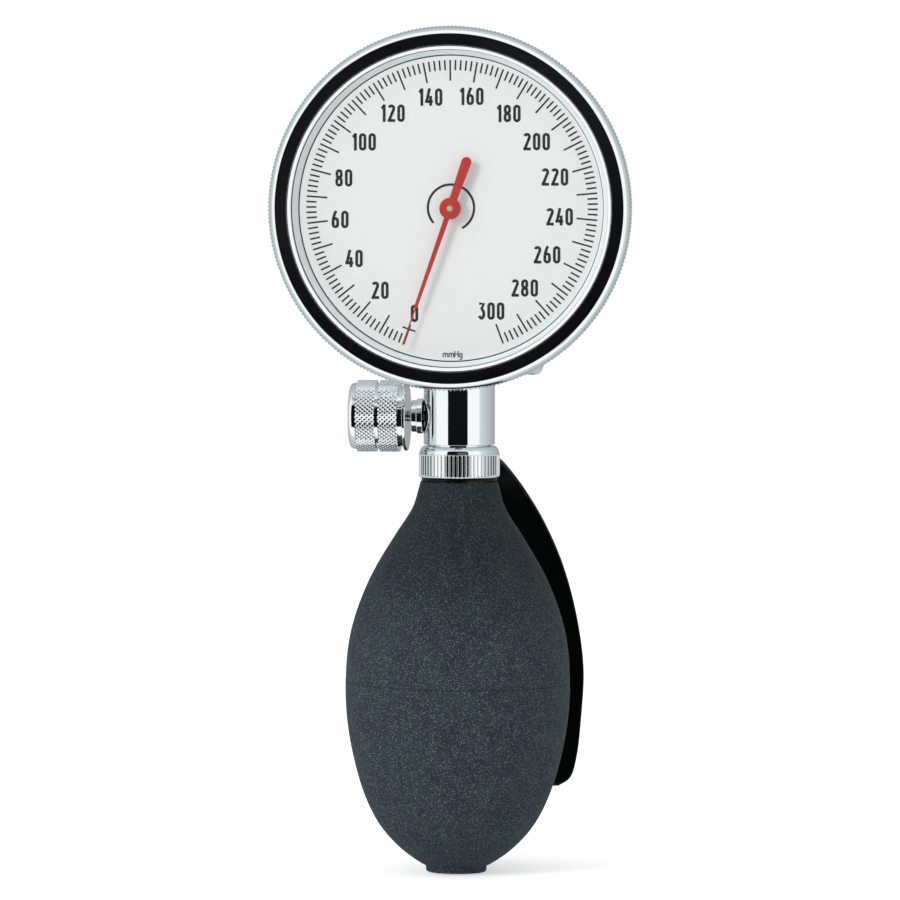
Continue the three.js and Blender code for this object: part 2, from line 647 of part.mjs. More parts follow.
// Pinion arbor: carries the pinion, the hairspring's collet and the pointer
function pinionArbor() {
  const step = 2 * Math.PI / pinionTeeth;
  const corners = [];
  for (let k = 0; k < pinionTeeth; k += 1) {
    corners.push(...toothCorners(meshAngle + Math.PI + (k + 0.5) * step, pinionPitch));
  }
  const pinion = plate(polygon(corners), sectorRear - pinionOverhang, sectorThickness + 2 * pinionOverhang);
  const shoulder = hubRear - fitGap;
  const arbor = forward([
    [0, pivotRear], [pivotRadius, pivotRear], [pivotRadius, shoulder], [arborTip, shoulder],
    [arborTip, hubFront + tipStand], [0, hubFront + tipStand],
  ], 20);
  return join(pinion, arbor);
}
add(head, 'pinion_arbor', pinionArbor(), steel);
const colletRear = springRear - seatGap;
add(head, 'spring_collet', forward(ring(pivotRadius + seatGap, springStart - 2 * seatGap,
  colletRear, colletRear + colletWidth), 20), brass);

// Hairspring: a flat spiral strip from the collet to its stud
function hairspring() {
  const steps = springTurns * 12;
  const positions = [];
  for (let i = 0; i <= steps; i += 1) {
    const angle = 2 * Math.PI * springTurns * i / steps;
    const radius = springStart + springPitch * springTurns * i / steps;
    for (const [dr, dy] of [[0, 0], [springStrip, 0], [springStrip, springWidth], [0, springWidth]]) {
      positions.push((radius + dr) * Math.cos(angle), -(springRear + dy), (radius + dr) * Math.sin(angle));
    }
  }
  const faces = [0, 1, 2, 0, 2, 3];
  for (let i = 0; i < steps; i += 1) {
    for (let k = 0; k < 4; k += 1) {
      const [a, b] = [4 * i + k, 4 * i + (k + 1) % 4];
      faces.push(a, a + 4, b, b, a + 4, b + 4);
    }
  }
  const last = 4 * steps;
  faces.push(last, last + 2, last + 1, last, last + 3, last + 2);
  const strip = new THREE.BufferGeometry();
  strip.setAttribute('position', new THREE.Float32BufferAttribute(positions, 3));
  strip.setIndex(faces);
  return strip;
}
add(head, 'hairspring', hairspring(), springBronze);
const studX = springStart + springPitch * springTurns + springStrip + fitGap;
add(head, 'hairspring_stud', box(studX, studX + studWidth, -frontPlateRear + seatGap, -colletRear,
  -studHalfHeight, studHalfHeight), brass);

// Pointer: needle with a fine tip, round-ended tail and a hub with a turned step
function pointer() {
  const shoulderEnd = needleShoulder + needleShoulderWidth;
  const side = [[needleWidth, 0], [needleShoulderWidth, needleShoulder], [needleTipWidth, shoulderEnd],
    [needleTipWidth, needleLength]];
  const left = side.map(([width, y]) => [-width / 2, y]);
  const right = side.map(([width, y]) => [width / 2, y]).reverse();
  const round = pointerTailWidth / 2;
  const tail = new THREE.Shape().moveTo(-pointerTailNeck / 2, 0).lineTo(-round, round - pointerTail);
  tail.absarc(0, round - pointerTail, round, Math.PI, 2 * Math.PI);
  tail.lineTo(pointerTailNeck / 2, 0);
  const flat = [polygon([...left, ...right]), tail].map((shape) =>
    plate(shape, hubRear + needleRear, needleThickness).rotateY(-THREE.MathUtils.degToRad(zeroDegrees)));
  const hub = forward([
    [0, hubRear], [hubRadius - hubStep, hubRear], [hubRadius, hubRear + needleRear],
    [hubRadius, hubFront - hubEdge], [hubRadius - hubEdge, hubFront], [0, hubFront],
  ], 40);
  return cut(join(hub, ...flat), forward(rod(arborTip + seatGap, hubRear - overcut, hubFront + overcut), 20));
}
add(head, 'pointer', pointer(), redPaint);

// Stem: turned body whose top follows the case, with a threaded neck into the case
function stemBody() {
  const neckTop = gaugeZ + bossTop - bossCap;
  const bodyTop = caseBottom + stemEdge + stemRadius / 2;
  const body = upright([
    [0, spigotBottom], [spigotRadius, spigotBottom], [spigotRadius, stemBottom],
    [stemRadius - stemEdge, stemBottom], [stemRadius, stemBottom + stemEdge],
    [stemRadius, bodyTop], [0, bodyTop],
  ], 36);
  const saddle = forward(rod(caseRadius + fitGap, -3 * stemRadius, 3 * stemRadius), 48).translate(0, 0, gaugeZ);
  const neck = upright(rod(neckRadius, caseBottom - neckRadius, neckTop), 24);
  const lower = upright(rod(adapterBoreRadius, spigotBottom - overcut, spigotBottom + adapterBoreDepth), 32);
  const bore = upright(rod(stemBore, spigotBottom, neckTop + overcut), 20);
  const valveBore = leftward(rod(glandSpigot + fitGap, 0, stemRadius + overcut), 20).translate(0, 0, valveZ);
  const nippleBore = turned(rod(hoseTube + fitGap, 0, stemRadius + overcut), 20).translate(0, 0, nippleZ);
  const flatWidth = stemRadius + overcut;
  const nippleFlat = box(-flatWidth, flatWidth, stemRadius - nippleFlatDepth, flatWidth,
    nippleZ - nippleFlangeRadius - nippleFlatDepth, bodyTop + overcut);
  return cut(join(cut(body, saddle), neck), lower, bore, valveBore, nippleBore, nippleFlat);
}
add(instrument, 'stem_body', stemBody(), chrome);

// Lock nut: a thin hexagon inside the case, on the stem's neck
function lockNut() {
  const hexagon = polygon([0, 1, 2, 3, 4, 5].map((k) => k * Math.PI / 3)
    .map((angle) => [lockNutCorner * Math.cos(angle), lockNutCorner * Math.sin(angle)]));
  hexagon.holes.push(new THREE.Path().absarc(0, 0, neckRadius + fitGap, 0, 2 * Math.PI));
  const settings = { depth: lockNutThickness, bevelEnabled: false, curveSegments: 12 };
  return new THREE.ExtrudeGeometry(hexagon, settings).translate(0, 0, lockNutBottom);
}
add(head, 'gauge_lock_nut', lockNut(), brass);

// Ring nut: fluted hand nut with a polished cone, open through its middle
function ringNut() {
  const bore = spigotRadius + fitGap;
  const root = nutRadius - nutFluteDepth;
  const coneBottom = nutTop - nutConeHeight;
  const cone = upright([
    [bore, coneBottom - nutFluteDepth], [root, coneBottom - nutFluteDepth], [root, coneBottom],
    [nutTopRadius, nutTop], [bore, nutTop],
  ], 60);
  const corners = [];
  for (let k = 0; k < 2 * nutFlutes; k += 1) {
    const angle = Math.PI * k / nutFlutes;
    const radius = k % 2 ? nutRadius : root;
    corners.push([radius * Math.cos(angle), radius * Math.sin(angle)]);
  }
  const outline = polygon(corners);
  outline.holes.push(new THREE.Path().absarc(0, 0, bore, 0, 2 * Math.PI));
  const settings = { depth: nutFlutedHeight, bevelEnabled: false, curveSegments: 30 };
  const fluted = new THREE.ExtrudeGeometry(outline, settings);
  return join(fluted.translate(0, 0, nutBottom), cone);
}
add(instrument, 'ring_nut', ringNut(), chrome);

// Release valve: gland, screwed spindle and knurled knob, along -X
const washerOuter = stemRadius + seatGap + washerThickness;
const collarInner = washerOuter + seatGap;
const glandFace = stemRadius + glandLength;
const glandBore = spindleRadius + fitGap;
const glandInner = spindleInner + spindleCone + seatGap;
add(valve, 'gland_washer', leftward(ring(glandSpigot + fitGap, glandRadius - fitGap / 2,
  stemRadius + seatGap, washerOuter), 20), sealRubber);
add(valve, 'valve_gland', leftward([
  [glandBore, glandInner], [glandSpigot, glandInner], [glandSpigot, collarInner],
  [glandRadius + glandCollar, collarInner], [glandRadius + glandCollar, collarInner + glandCollarWidth],
  [glandRadius, collarInner + glandCollarWidth], [glandRadius, glandFace], [glandBore, glandFace],
], 20), chrome);
const knobInner = glandFace + fitGap;
const spindleEnd = knobInner + spindleGrip;
add(valve, 'valve_spindle', leftward([
  [0, spindleInner], [spindleTip, spindleInner], [spindleRadius, spindleInner + spindleCone],
  [spindleRadius, spindleEnd], [0, spindleEnd],
], 20), steel);
const flangeOuter = knobInner + knobFlange;
const bandOne = flangeOuter + knobWideGroove;
const grooveStart = bandOne + knobBand;
const bandTwo = grooveStart + knobGroove;
const knobOuter = bandTwo + knobBand;
const knobBore = spindleRadius + fitGap;
const flangeRadius = knobRadius - knobFlangeStep;
add(valve, 'release_knob', leftward([
  [knobBore, knobInner], [flangeRadius - knobEdge, knobInner], [flangeRadius, knobInner + knobEdge],
  [flangeRadius, flangeOuter], [knobRadius - knobWideGrooveDepth, flangeOuter],
  [knobRadius - knobWideGrooveDepth, bandOne], [knobRadius, bandOne], [knobRadius, grooveStart],
  [knobRadius - knobGrooveDepth, grooveStart], [knobRadius - knobGrooveDepth, bandTwo],
  [knobRadius, bandTwo], [knobRadius, knobOuter], [knobBore, knobOuter],
], 32), chrome);
const capInner = knobOuter + seatGap;
const capRadius = knobRadius - knobCapStep;
const plugRadius = knobBore - seatGap;
add(valve, 'knob_cap', leftward([
  [0, spindleEnd + fitGap], [plugRadius, spindleEnd + fitGap], [plugRadius, capInner], [capRadius, capInner],
  ...rounding(capRadius, capInner + knobCapLength, knobCapRound), [0, capInner + knobCapLength + knobCapCrown],
], 32), chrome);

// Hose nipple at the back of the stem, with barbs for the hose
const nippleSeat = stemRadius - nippleFlatDepth + seatGap;
const flangeRear = nippleSeat + washerThickness + seatGap;
const nippleFace = flangeRear + nippleFlange;
function hoseNipple() {
  const barbs = [];
  for (let k = 0; k < hoseBarbs; k += 1) {
    const low = nippleFace + hoseStart + k * hoseBarbPitch;
    barbs.push([hoseTube, low], [hoseBarbRadius, low + hoseBarbEdge],
      [hoseTube, low + hoseBarbPitch - hoseBarbGap]);
  }
  const end = nippleFace + hoseStart + hoseBarbs * hoseBarbPitch;
  const inner = stemBore + 2 * fitGap;
  const landRadius = hoseBarbRadius + seatGap;
  return turned([
    [hoseBore, inner], [hoseTube, inner], [hoseTube, flangeRear], [nippleFlangeRadius, flangeRear],
    [nippleFlangeRadius, nippleFace], [landRadius, nippleFace], [landRadius, nippleFace + nippleLand],
    [hoseTube, nippleFace + nippleLand], ...barbs, [(hoseTube + hoseBore) / 2, end], [hoseBore, end],
  ], 14);
}
add(nipple, 'hose_nipple', hoseNipple(), chrome);
add(nipple, 'nipple_washer', turned(ring(hoseTube + fitGap, nippleFlangeRadius, nippleSeat,
  nippleSeat + washerThickness), 16), sealRubber);

// Bulb adapter with the outlet check valve, up the middle of the bulb's neck
const flangeTop = eyeBottom - seatGap;
const flangeBottom = flangeTop - adapterFlange;
const adapterBottom = flangeTop - adapterLength;
const outletSeat = adapterBottom + outletSeatHeight;
const ballSeat = Math.sqrt(ballRadius ** 2 - seatRadius ** 2) + ballRest;
function bulbAdapter() {
  const barbs = [];
  for (let low = adapterBottom + adapterStart; low + adapterBarbPitch < flangeBottom; low += adapterBarbPitch) {
    barbs.push([adapterTube, low], [barbRadius, low + adapterBarbPitch * 0.8],
      [adapterTube, low + adapterBarbPitch * 0.85]);
  }
  const top = spigotBottom + adapterBoreDepth - fitGap;
  return upright([
    [seatRadius, adapterBottom], [adapterTube - adapterBarb, adapterBottom], ...barbs,
    [adapterTube, flangeBottom], [adapterFlangeRadius, flangeBottom],
    [adapterFlangeRadius, flangeTop], [adapterTube, flangeTop],
    [adapterTube, top], [chamberRadius, top], [chamberRadius, outletSeat + seatBevel], [seatRadius, outletSeat],
  ], 18);
}
add(instrument, 'bulb_adapter', bulbAdapter(), brass);
const checkBall = (height) => new THREE.SphereGeometry(ballRadius, 10, 8).translate(0, 0, height);
const checkStop = (low) => upright(ring(stopBore, chamberRadius - seatGap, low, low + stopThickness), 18);
const stopAbove = ballRadius + ballTravel + fitGap; // from the middle of the resting ball
add(instrument, 'outlet_ball', checkBall(outletSeat + ballSeat), steel);
add(instrument, 'outlet_stop', checkStop(outletSeat + ballSeat + stopAbove), brass);

// Bulb: hollow rubber with a neck bore at the top and a nub bore at the bottom.
// Each outline stop is [share of the half's length, share of the growth from the end to the widest section].
const upperOutline = [[1, 0], [0.878, 0.125], [0.739, 0.354], [0.512, 0.704], [0.259, 0.936], [0, 1]];
const lowerOutline = [[0.257, 0.958], [0.531, 0.818], [0.748, 0.594], [0.938, 0.206], [1, 0]];
function bulbSection() {
  const upper = upperOutline.map(([h, r]) => new THREE.Vector2(
    bulbNeckRadius + (bulbRadius - bulbNeckRadius) * r, bulbUpperLength * h));
  const lower = lowerOutline.map(([h, r]) => new THREE.Vector2(
    bulbNubRadius + (bulbRadius - bulbNubRadius) * r, -bulbLowerLength * h));
  return new THREE.SplineCurve([...upper, ...lower]);
}
function bulb() {
  const section = bulbSection();
  const outside = section.getPoints(14).map((p) => [p.x, p.y]);
  const neckEnd = bulbUpperLength - bulbNeckDepth;
  const bottom = -bulbLowerLength - bulbNubLength;
  const nubEnd = bottom + bulbNubDepth;
  const inside = [];
  for (let i = 0; i <= 9; i += 1) {
    const at = section.getPoint(i / 9);
    const along = section.getTangent(i / 9);
    const [r, z] = [at.x + along.y * bulbWall, at.y - along.x * bulbWall];
    if (z < neckEnd - bulbWall / 2 && z > nubEnd + bulbWall / 2) inside.push([r, z]);
  }
  const recessRadius = adapterFlangeRadius + fitGap;
  const recessFloor = bulbUpperLength - flangeRecess;
  return upright([
    [bulbNeckBore, recessFloor], [recessRadius, recessFloor], [recessRadius, bulbUpperLength], ...outside,
    [bulbNubRadius, bottom + bulbNubChamfer], [bulbNubRadius - bulbNubChamfer, bottom], [bulbNubBore, bottom],
    [bulbNubBore, nubEnd], ...inside.reverse(), [bulbNeckBore, neckEnd],
  ], 32).translate(0, 0, -bulbUpperLength);
}
add(bulbGroup, 'bulb', bulb(), rubber);

// Inlet valve in the nub: the ball lies on its seat until the bulb draws air
const inletGroup = new THREE.Group();
inletGroup.position.z = -bulbUpperLength - bulbLowerLength - bulbNubLength;
bulbGroup.add(inletGroup);
const inletRadius = bulbNubBore - fitGap;
const inletStop = inletSeat + ballSeat + stopAbove;
add(inletGroup, 'inlet_valve_body', upright([
  [seatRadius, inletInset], [inletRadius, inletInset], [inletRadius, bulbNubDepth + inletLip],
  [inletRadius + inletLip, bulbNubDepth + inletLip], [inletRadius, inletStop + inletTop],
  [chamberRadius, inletStop + inletTop], [chamberRadius, inletSeat + seatBevel], [seatRadius, inletSeat],
], 18), brass);
add(inletGroup, 'inlet_ball', checkBall(inletSeat + ballSeat), steel);
add(inletGroup, 'inlet_stop', checkStop(inletStop), brass);

// Spoon: an eye under the ring nut, a humped tang and a hollow bowl behind the bulb.
// Each stop is [half width, distance behind the axis, height].
function spoonLine() {
  const middle = eyeBottom + eyeThickness / 2;
  const wide = spoonHalfWidth;
  const stops = [
    [tangHalfWidth, adapterTube + 2 * fitGap, middle],
    [tangHalfWidth * 1.04, eyeRadius + tangFlat, middle + spoonHump * 0.03],
    [tangHalfWidth * 1.15, spoonReach * 0.395, middle + spoonHump * 0.6],
    [tangHalfWidth * 1.29, spoonReach * 0.526, middle + spoonHump],
    [wide * 0.372, spoonReach * 0.673, middle + spoonHump * 0.35],
    [wide * 0.508, spoonReach * 0.798, middle * 0.91],
    [wide * 0.643, spoonReach * 0.886, middle * 0.757],
    [wide * 0.817, spoonReach * 0.953, middle * 0.541],
    [wide * 0.942, spoonReach * 0.991, middle * 0.276],
    [wide, spoonReach, middle * 0.024],
    [wide * 0.982, spoonReach * 0.977, -spoonTip * 0.39],
    [wide * 0.945, spoonReach * 0.933, -spoonTip * 0.748],
    [wide * 0.885, spoonReach * 0.912, -spoonTip * 0.93],
    [wide * 0.77, spoonReach * 0.905, -spoonTip],
  ];
  return new THREE.CatmullRomCurve3(stops.map((stop) => new THREE.Vector3(...stop)), false, 'centripetal');
}
function spoon() {
  const line = spoonLine();
  const [steps, across] = [24, 6];
  const positions = [];
  const outward = new THREE.Vector3();
  for (let i = 0; i <= steps; i += 1) {
    const at = line.getPoint(i / steps);
    const along = line.getTangent(i / steps);
    outward.set(0, -along.z, along.y).normalize();
    const grown = THREE.MathUtils.smoothstep(at.y, eyeRadius + fitGap, eyeRadius + fitGap + tangGrowth);
    const thick = eyeThickness + (spoonThickness - eyeThickness) * grown;
    for (const side of [1, -1]) {
      for (let k = 0; k <= across; k += 1) {
        const x = side * at.x * (1 - 2 * k / across);
        const bow = (spoonBowRadius - Math.sqrt(spoonBowRadius ** 2 - x ** 2)) * grown;
        const shift = side * thick / 2 - bow;
        positions.push(x, at.y + outward.y * shift, at.z + outward.z * shift);
      }
    }
  }
  const row = 2 * (across + 1);
  const faces = [];
  for (let i = 0; i < steps; i += 1) {
    for (let k = 0; k < row; k += 1) {
      const [a, b] = [i * row + k, i * row + (k + 1) % row];
      faces.push(a, b, a + row, b, b + row, a + row);
    }
  }
  for (let k = 0; k < across; k += 1) {
    for (const [start, turn] of [[0, 1], [steps * row, -1]]) {
      const [a, b, c, d] = [start + k, start + k + 1, start + row - 2 - k, start + row - 1 - k];
      faces.push(...(turn > 0 ? [a, c, b, a, d, c] : [a, b, c, a, c, d]));
    }
  }
  const blade = new THREE.BufferGeometry();
  blade.setAttribute('position', new THREE.Float32BufferAttribute(positions, 3));
  blade.setIndex(faces);
  const eye = upright(rod(eyeRadius, eyeBottom, eyeTop), 40);
  const hole = upright(rod(adapterTube + fitGap, eyeBottom - overcut, eyeTop + overcut), 32);
  return cut(join(blade, eye), hole);
}
add(instrument, 'spoon', spoon(), blackEnamel);

export default instrument;
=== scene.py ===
import json
import math

import bpy
import numpy as np
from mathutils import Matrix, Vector


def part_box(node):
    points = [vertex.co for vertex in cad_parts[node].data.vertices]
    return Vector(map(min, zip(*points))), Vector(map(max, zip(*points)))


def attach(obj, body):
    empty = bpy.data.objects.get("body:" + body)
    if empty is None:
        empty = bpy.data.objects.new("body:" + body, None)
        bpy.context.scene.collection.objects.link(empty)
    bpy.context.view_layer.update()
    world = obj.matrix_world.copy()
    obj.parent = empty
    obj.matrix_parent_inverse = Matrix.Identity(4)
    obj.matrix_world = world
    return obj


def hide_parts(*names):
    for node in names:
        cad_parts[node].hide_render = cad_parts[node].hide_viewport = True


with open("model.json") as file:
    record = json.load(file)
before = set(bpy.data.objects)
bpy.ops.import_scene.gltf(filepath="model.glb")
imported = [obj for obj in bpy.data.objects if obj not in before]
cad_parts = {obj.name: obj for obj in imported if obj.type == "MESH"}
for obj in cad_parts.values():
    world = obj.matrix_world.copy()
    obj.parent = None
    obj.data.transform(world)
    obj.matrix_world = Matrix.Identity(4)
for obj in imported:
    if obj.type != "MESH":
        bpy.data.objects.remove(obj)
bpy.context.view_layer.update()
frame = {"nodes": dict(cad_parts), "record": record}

# Camera: a long lens in front of the instrument, a little to its right and above it.
# All sizes in this file are millimetres, times mm where they become a place in the scene.
mm = 0.001
camera_turn, camera_rise = math.radians(5.5), math.radians(3)
camera_distance = 1400
camera_aim = Vector((0, 0, 47.4))
camera_shift = -1.87  # along the picture's width, so that the dial stands left of the middle
toward = Vector((math.sin(camera_turn) * math.cos(camera_rise),
                 -math.cos(camera_turn) * math.cos(camera_rise), math.sin(camera_rise)))
rightward = Vector((math.cos(camera_turn), math.sin(camera_turn), 0))
camera = bpy.data.objects.new("camera", bpy.data.cameras.new("camera"))
camera.data.lens, camera.data.sensor_width = 278.6, 36
camera.location = (camera_aim + rightward * camera_shift + toward * camera_distance) * mm
camera.rotation_euler = toward.to_track_quat("Z", "Y").to_euler()
bpy.context.scene.collection.objects.link(camera)
bpy.context.scene.camera = camera
bpy.context.scene.view_settings.view_transform = "Standard"

# Room: a white surround that lights the instrument softly from all sides. The camera sees it as
# plain white. Polished metal and glass see it too, turning pale grey towards the sides and back.


def node(tree, kind, inputs=None, **settings):
    """Adds a shader node. An input is a plain value or another node's output."""
    made = tree.nodes.new(kind)
    for key, value in settings.items():
        setattr(made, key, value)
    for key, value in (inputs or {}).items():
        if isinstance(value, bpy.types.NodeSocket):
            tree.links.new(value, made.inputs[key])
        else:
            made.inputs[key].default_value = value
    return made


def larger(tree, first, second):
    """The larger of two values."""
    return node(tree, "ShaderNodeMath", {0: first, 1: second}, operation="MAXIMUM").outputs[0]


def ramp(tree, value, stops):
    """A colour ramp over value, from (position, colour) stops."""
    made = node(tree, "ShaderNodeValToRGB", {"Fac": value})
    elements = made.color_ramp.elements
    while len(elements) < len(stops):
        elements.new(0.5)
    for element, (position, color) in zip(elements, stops):
        element.position, element.color = position, (*color, 1)
    return made.outputs["Color"]


surround_light = 0.71
world = bpy.data.worlds.new("surround")
world.use_nodes = True
bpy.context.scene.world = world
sky = world.node_tree
sky.nodes.clear()
path = node(sky, "ShaderNodeLightPath")
mirrored = larger(sky, path.outputs["Is Glossy Ray"], path.outputs["Is Transmission Ray"])
seen = larger(sky, path.outputs["Is Camera Ray"], mirrored)
toward_sky = node(sky, "ShaderNodeTexCoord").outputs["Generated"]
depth = node(sky, "ShaderNodeSeparateXYZ", {0: toward_sky}).outputs["Y"]
front_to_back = node(sky, "ShaderNodeMapRange", {"Value": depth, "From Min": -1.0}).outputs[0]
paper_greys = ramp(sky, front_to_back, [(0.34, (1, 1, 1)), (0.4, (0.62, 0.7, 0.72)),
                                        (0.7, (0.5, 0.55, 0.57)), (1, (0.36, 0.38, 0.38))])
tone = node(sky, "ShaderNodeMixRGB", {0: mirrored, 1: (1, 1, 1, 1), 2: paper_greys}).outputs[0]
strength = node(sky, "ShaderNodeMapRange", {"Value": seen, "To Min": surround_light})
light = node(sky, "ShaderNodeBackground", {"Color": tone, "Strength": strength.outputs[0]})
node(sky, "ShaderNodeOutputWorld", {"Surface": light.outputs[0]})

# Floor: white paper just under the bulb's nub. It throws light back up at the instrument and keeps
# its faint shadow, and is otherwise lost in the white surround.
floor_gap, floor_radius, floor_corners, floor_glow = 0.2, 900, 96, 0.5
floor_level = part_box("bulb")[0].z / mm - floor_gap


def flat_sheet(name, corners):
    """A flat sheet of the stage, from its corners in millimetres."""
    mesh = bpy.data.meshes.new(name)
    mesh.from_pydata([Vector(corner) * mm for corner in corners], [], [range(len(corners))])
    sheet = bpy.data.objects.new(name, mesh)
    bpy.context.scene.collection.objects.link(sheet)
    return sheet


def bare_material(sheet, name):
    """Gives a sheet a new material without nodes, and returns its node tree."""
    made = bpy.data.materials.new(name)
    made.use_nodes = True
    made.node_tree.nodes.clear()
    sheet.data.materials.append(made)
    return made.node_tree


floor = flat_sheet("floor", [(floor_radius * math.cos(turn), floor_radius * math.sin(turn), floor_level)
                             for turn in np.linspace(0, 2 * math.pi, floor_corners, endpoint=False)])
tree = bare_material(floor, "white_paper")
white = node(tree, "ShaderNodeBsdfDiffuse", {"Color": (0.9, 0.9, 0.9, 1)})
path = node(tree, "ShaderNodeLightPath")
to_camera = node(tree, "ShaderNodeMath", {0: path.outputs["Is Camera Ray"], 1: floor_glow},
                 operation="MULTIPLY").outputs[0]
glow = node(tree, "ShaderNodeEmission", {"Strength": to_camera})
lit = node(tree, "ShaderNodeAddShader", {0: white.outputs[0], 1: glow.outputs[0]})
clear = node(tree, "ShaderNodeBsdfTransparent")
mirrored = larger(tree, path.outputs["Is Glossy Ray"], path.outputs["Is Transmission Ray"])
blend = node(tree, "ShaderNodeMixShader", {0: mirrored, 1: lit.outputs[0], 2: clear.outputs[0]})
node(tree, "ShaderNodeOutputMaterial", {"Surface": blend.outputs[0]})

# Cards and lamp: a dark card in front gives the polished metal its black stripes, a slate one before
# it puts a sheen on the black inlay, and a lamp at the upper left throws the pointer's soft shadow.


def card(name, tone, distance, left, right, bottom, top):
    """An upright card in front of the instrument that only polished surfaces see."""
    sheet = flat_sheet(name, [(left, -distance, bottom), (right, -distance, bottom),
                              (right, -distance, top), (left, -distance, top)])
    sheet.visible_camera = sheet.visible_diffuse = sheet.visible_shadow = False
    sheet.visible_transmission = sheet.visible_volume_scatter = False
    tree = bare_material(sheet, name)
    glow = node(tree, "ShaderNodeEmission", {"Color": (*tone, 1)})
    node(tree, "ShaderNodeOutputMaterial", {"Surface": glow.outputs[0]})


card("dark_card", (0.004, 0.005, 0.006), 350, left=-215, right=223, bottom=-220, top=360)
card("slate_card", (0.085, 0.1, 0.105), 349, left=0, right=200, bottom=135, top=260)
lamp_place, lamp_size, lamp_power = Vector((-950, -1150, 680)), 480, 10.5
lamp = bpy.data.objects.new("lamp", bpy.data.lights.new("lamp", "AREA"))
lamp.data.size, lamp.data.energy = lamp_size * mm, lamp_power
lamp.location = lamp_place * mm
lamp.rotation_euler = (lamp_place - camera_aim).to_track_quat("Z", "Y").to_euler()
lamp.visible_glossy = False
bpy.context.scene.collection.objects.link(lamp)

# Case shell: the drawn and chromed cup that holds the movement, with a rounded rear corner and
# two fine rings turned into its back.


def eased(corners, closed=True, steps=5, hold=0.04):
    """A profile's corners with the rounded ones eased. A corner is (radius, height) or
    (radius, height, rounding)."""
    points = []
    count = len(corners)
    for i, corner in enumerate(corners):
        here = np.array(corner[:2], float)
        if len(corner) == 2 or (not closed and i in (0, count - 1)):
            points.append(here)
            continue
        before = np.array(corners[i - 1][:2], float) - here
        after = np.array(corners[(i + 1) % count][:2], float) - here
        before, after = before / np.linalg.norm(before), after / np.linalg.norm(after)
        start, end = here + before * corner[2], here + after * corner[2]
        points.append(start + before * hold)
        for t in np.linspace(0, 1, steps + 1):
            points.append((1 - t) ** 2 * start + 2 * t * (1 - t) * here + t ** 2 * end)
        points.append(end + after * hold)
    return np.array(points)


def new_mesh(name, points, faces, sharp_degrees=35):
    """A smooth-shaded mesh object from points in metres, its faces turned outward."""
    mesh = bpy.data.meshes.new(name)
    mesh.from_pydata(np.asarray(points).tolist(), [], faces)
    made = bpy.data.objects.new(name, mesh)
    bpy.context.scene.collection.objects.link(made)
    volume = sum(mesh.vertices[f.vertices[0]].co.dot(f.normal) * f.area for f in mesh.polygons)
    if volume < 0:
        mesh.flip_normals()
    mesh.shade_smooth()
    mesh.set_sharp_from_angle(angle=math.radians(sharp_degrees))
    return made


def turned(name, profile, direction, origin=(0, 0, 0), segments=192, shape=None, sharp_degrees=35,
           crossed=()):
    """A turned piece from (radius, height) points. The profile closes on itself, or starts and ends
    on the axis. Direction says where its height points: up, front, back or left. Shape may change
    (radius, height) by angle. Crossed gives (first row, last row) pairs whose squares are split by
    alternating diagonals."""
    radius, height = np.array(profile, float).T
    closed = radius[0] > 1e-6
    turn = np.linspace(0, 2 * math.pi, segments, endpoint=False)[None, :]
    radii, heights = np.repeat(radius[:, None], segments, 1), np.repeat(height[:, None], segments, 1)
    if shape:
        radii, heights = shape(turn, radii, heights)
    across, over = radii * np.cos(turn), radii * np.sin(turn)
    layout = {"up": (across, over, heights), "front": (across, -heights, over),
              "back": (across, heights, over), "left": (-heights, across, over)}
    points = np.stack(layout[direction], -1) * mm + np.array(origin)
    rows = len(radius)
    faces = []
    for i in range(rows if closed else rows - 1):
        a, b = i * segments, (i + 1) % rows * segments
        for k in range(segments):
            n = (k + 1) % segments
            if not closed and i == 0:
                faces.append((0, b + n, b + k))
            elif not closed and i == rows - 2:
                faces.append((a + k, a + n, b))
            elif any(start <= i < end for start, end in crossed):
                start = max(start for start, end in crossed if start <= i)
                if (k + i - start) % 2:
                    faces += [(a + k, a + n, b + k), (a + n, b + n, b + k)]
                else:
                    faces += [(a + k, a + n, b + n), (a + k, b + n, b + k)]
            else:
                faces.append((a + k, a + n, b + n, b + k))
    if closed:
        return new_mesh(name, points.reshape(-1, 3), faces, sharp_degrees)
    kept = np.r_[0, segments:(rows - 1) * segments + 1]
    renumber = {old: new for new, old in enumerate(kept)}
    faces = [tuple(renumber[v] for v in face) for face in faces]
    return new_mesh(name, points.reshape(-1, 3)[kept], faces, sharp_degrees)


def wear_group():
    """Faint hairlines and cloudy patches, as handling leaves on polished or painted metal."""
    group = bpy.data.node_groups.new("handling_wear", "ShaderNodeTree")
    sockets = {"INPUT": ("Patch Scale", "Line Scale", "Line Stretch"), "OUTPUT": ("Patches", "Lines")}
    for side, names in sockets.items():
        for name in names:
            group.interface.new_socket(name, in_out=side, socket_type="NodeSocketFloat")
    given = node(group, "NodeGroupInput")
    where = node(group, "ShaderNodeTexCoord").outputs["Object"]
    patches = node(group, "ShaderNodeTexNoise", {"Vector": where, "Scale": given.outputs["Patch Scale"],
                                                 "Detail": 3.0, "Roughness": 0.6})
    stretch = node(group, "ShaderNodeCombineXYZ", {"X": 1.0, "Y": 1.0,
                                                   "Z": given.outputs["Line Stretch"]})
    long_way = node(group, "ShaderNodeVectorMath", {0: where, 1: stretch.outputs[0]},
                    operation="MULTIPLY").outputs[0]
    lines = node(group, "ShaderNodeTexNoise", {"Vector": long_way, "Scale": given.outputs["Line Scale"]})
    node(group, "NodeGroupOutput", {"Patches": patches.outputs["Fac"], "Lines": lines.outputs["Fac"]})
    return group


handling_wear = wear_group()


def principled(material):
    """A material's main shader."""
    return material.node_tree.nodes["Principled BSDF"]


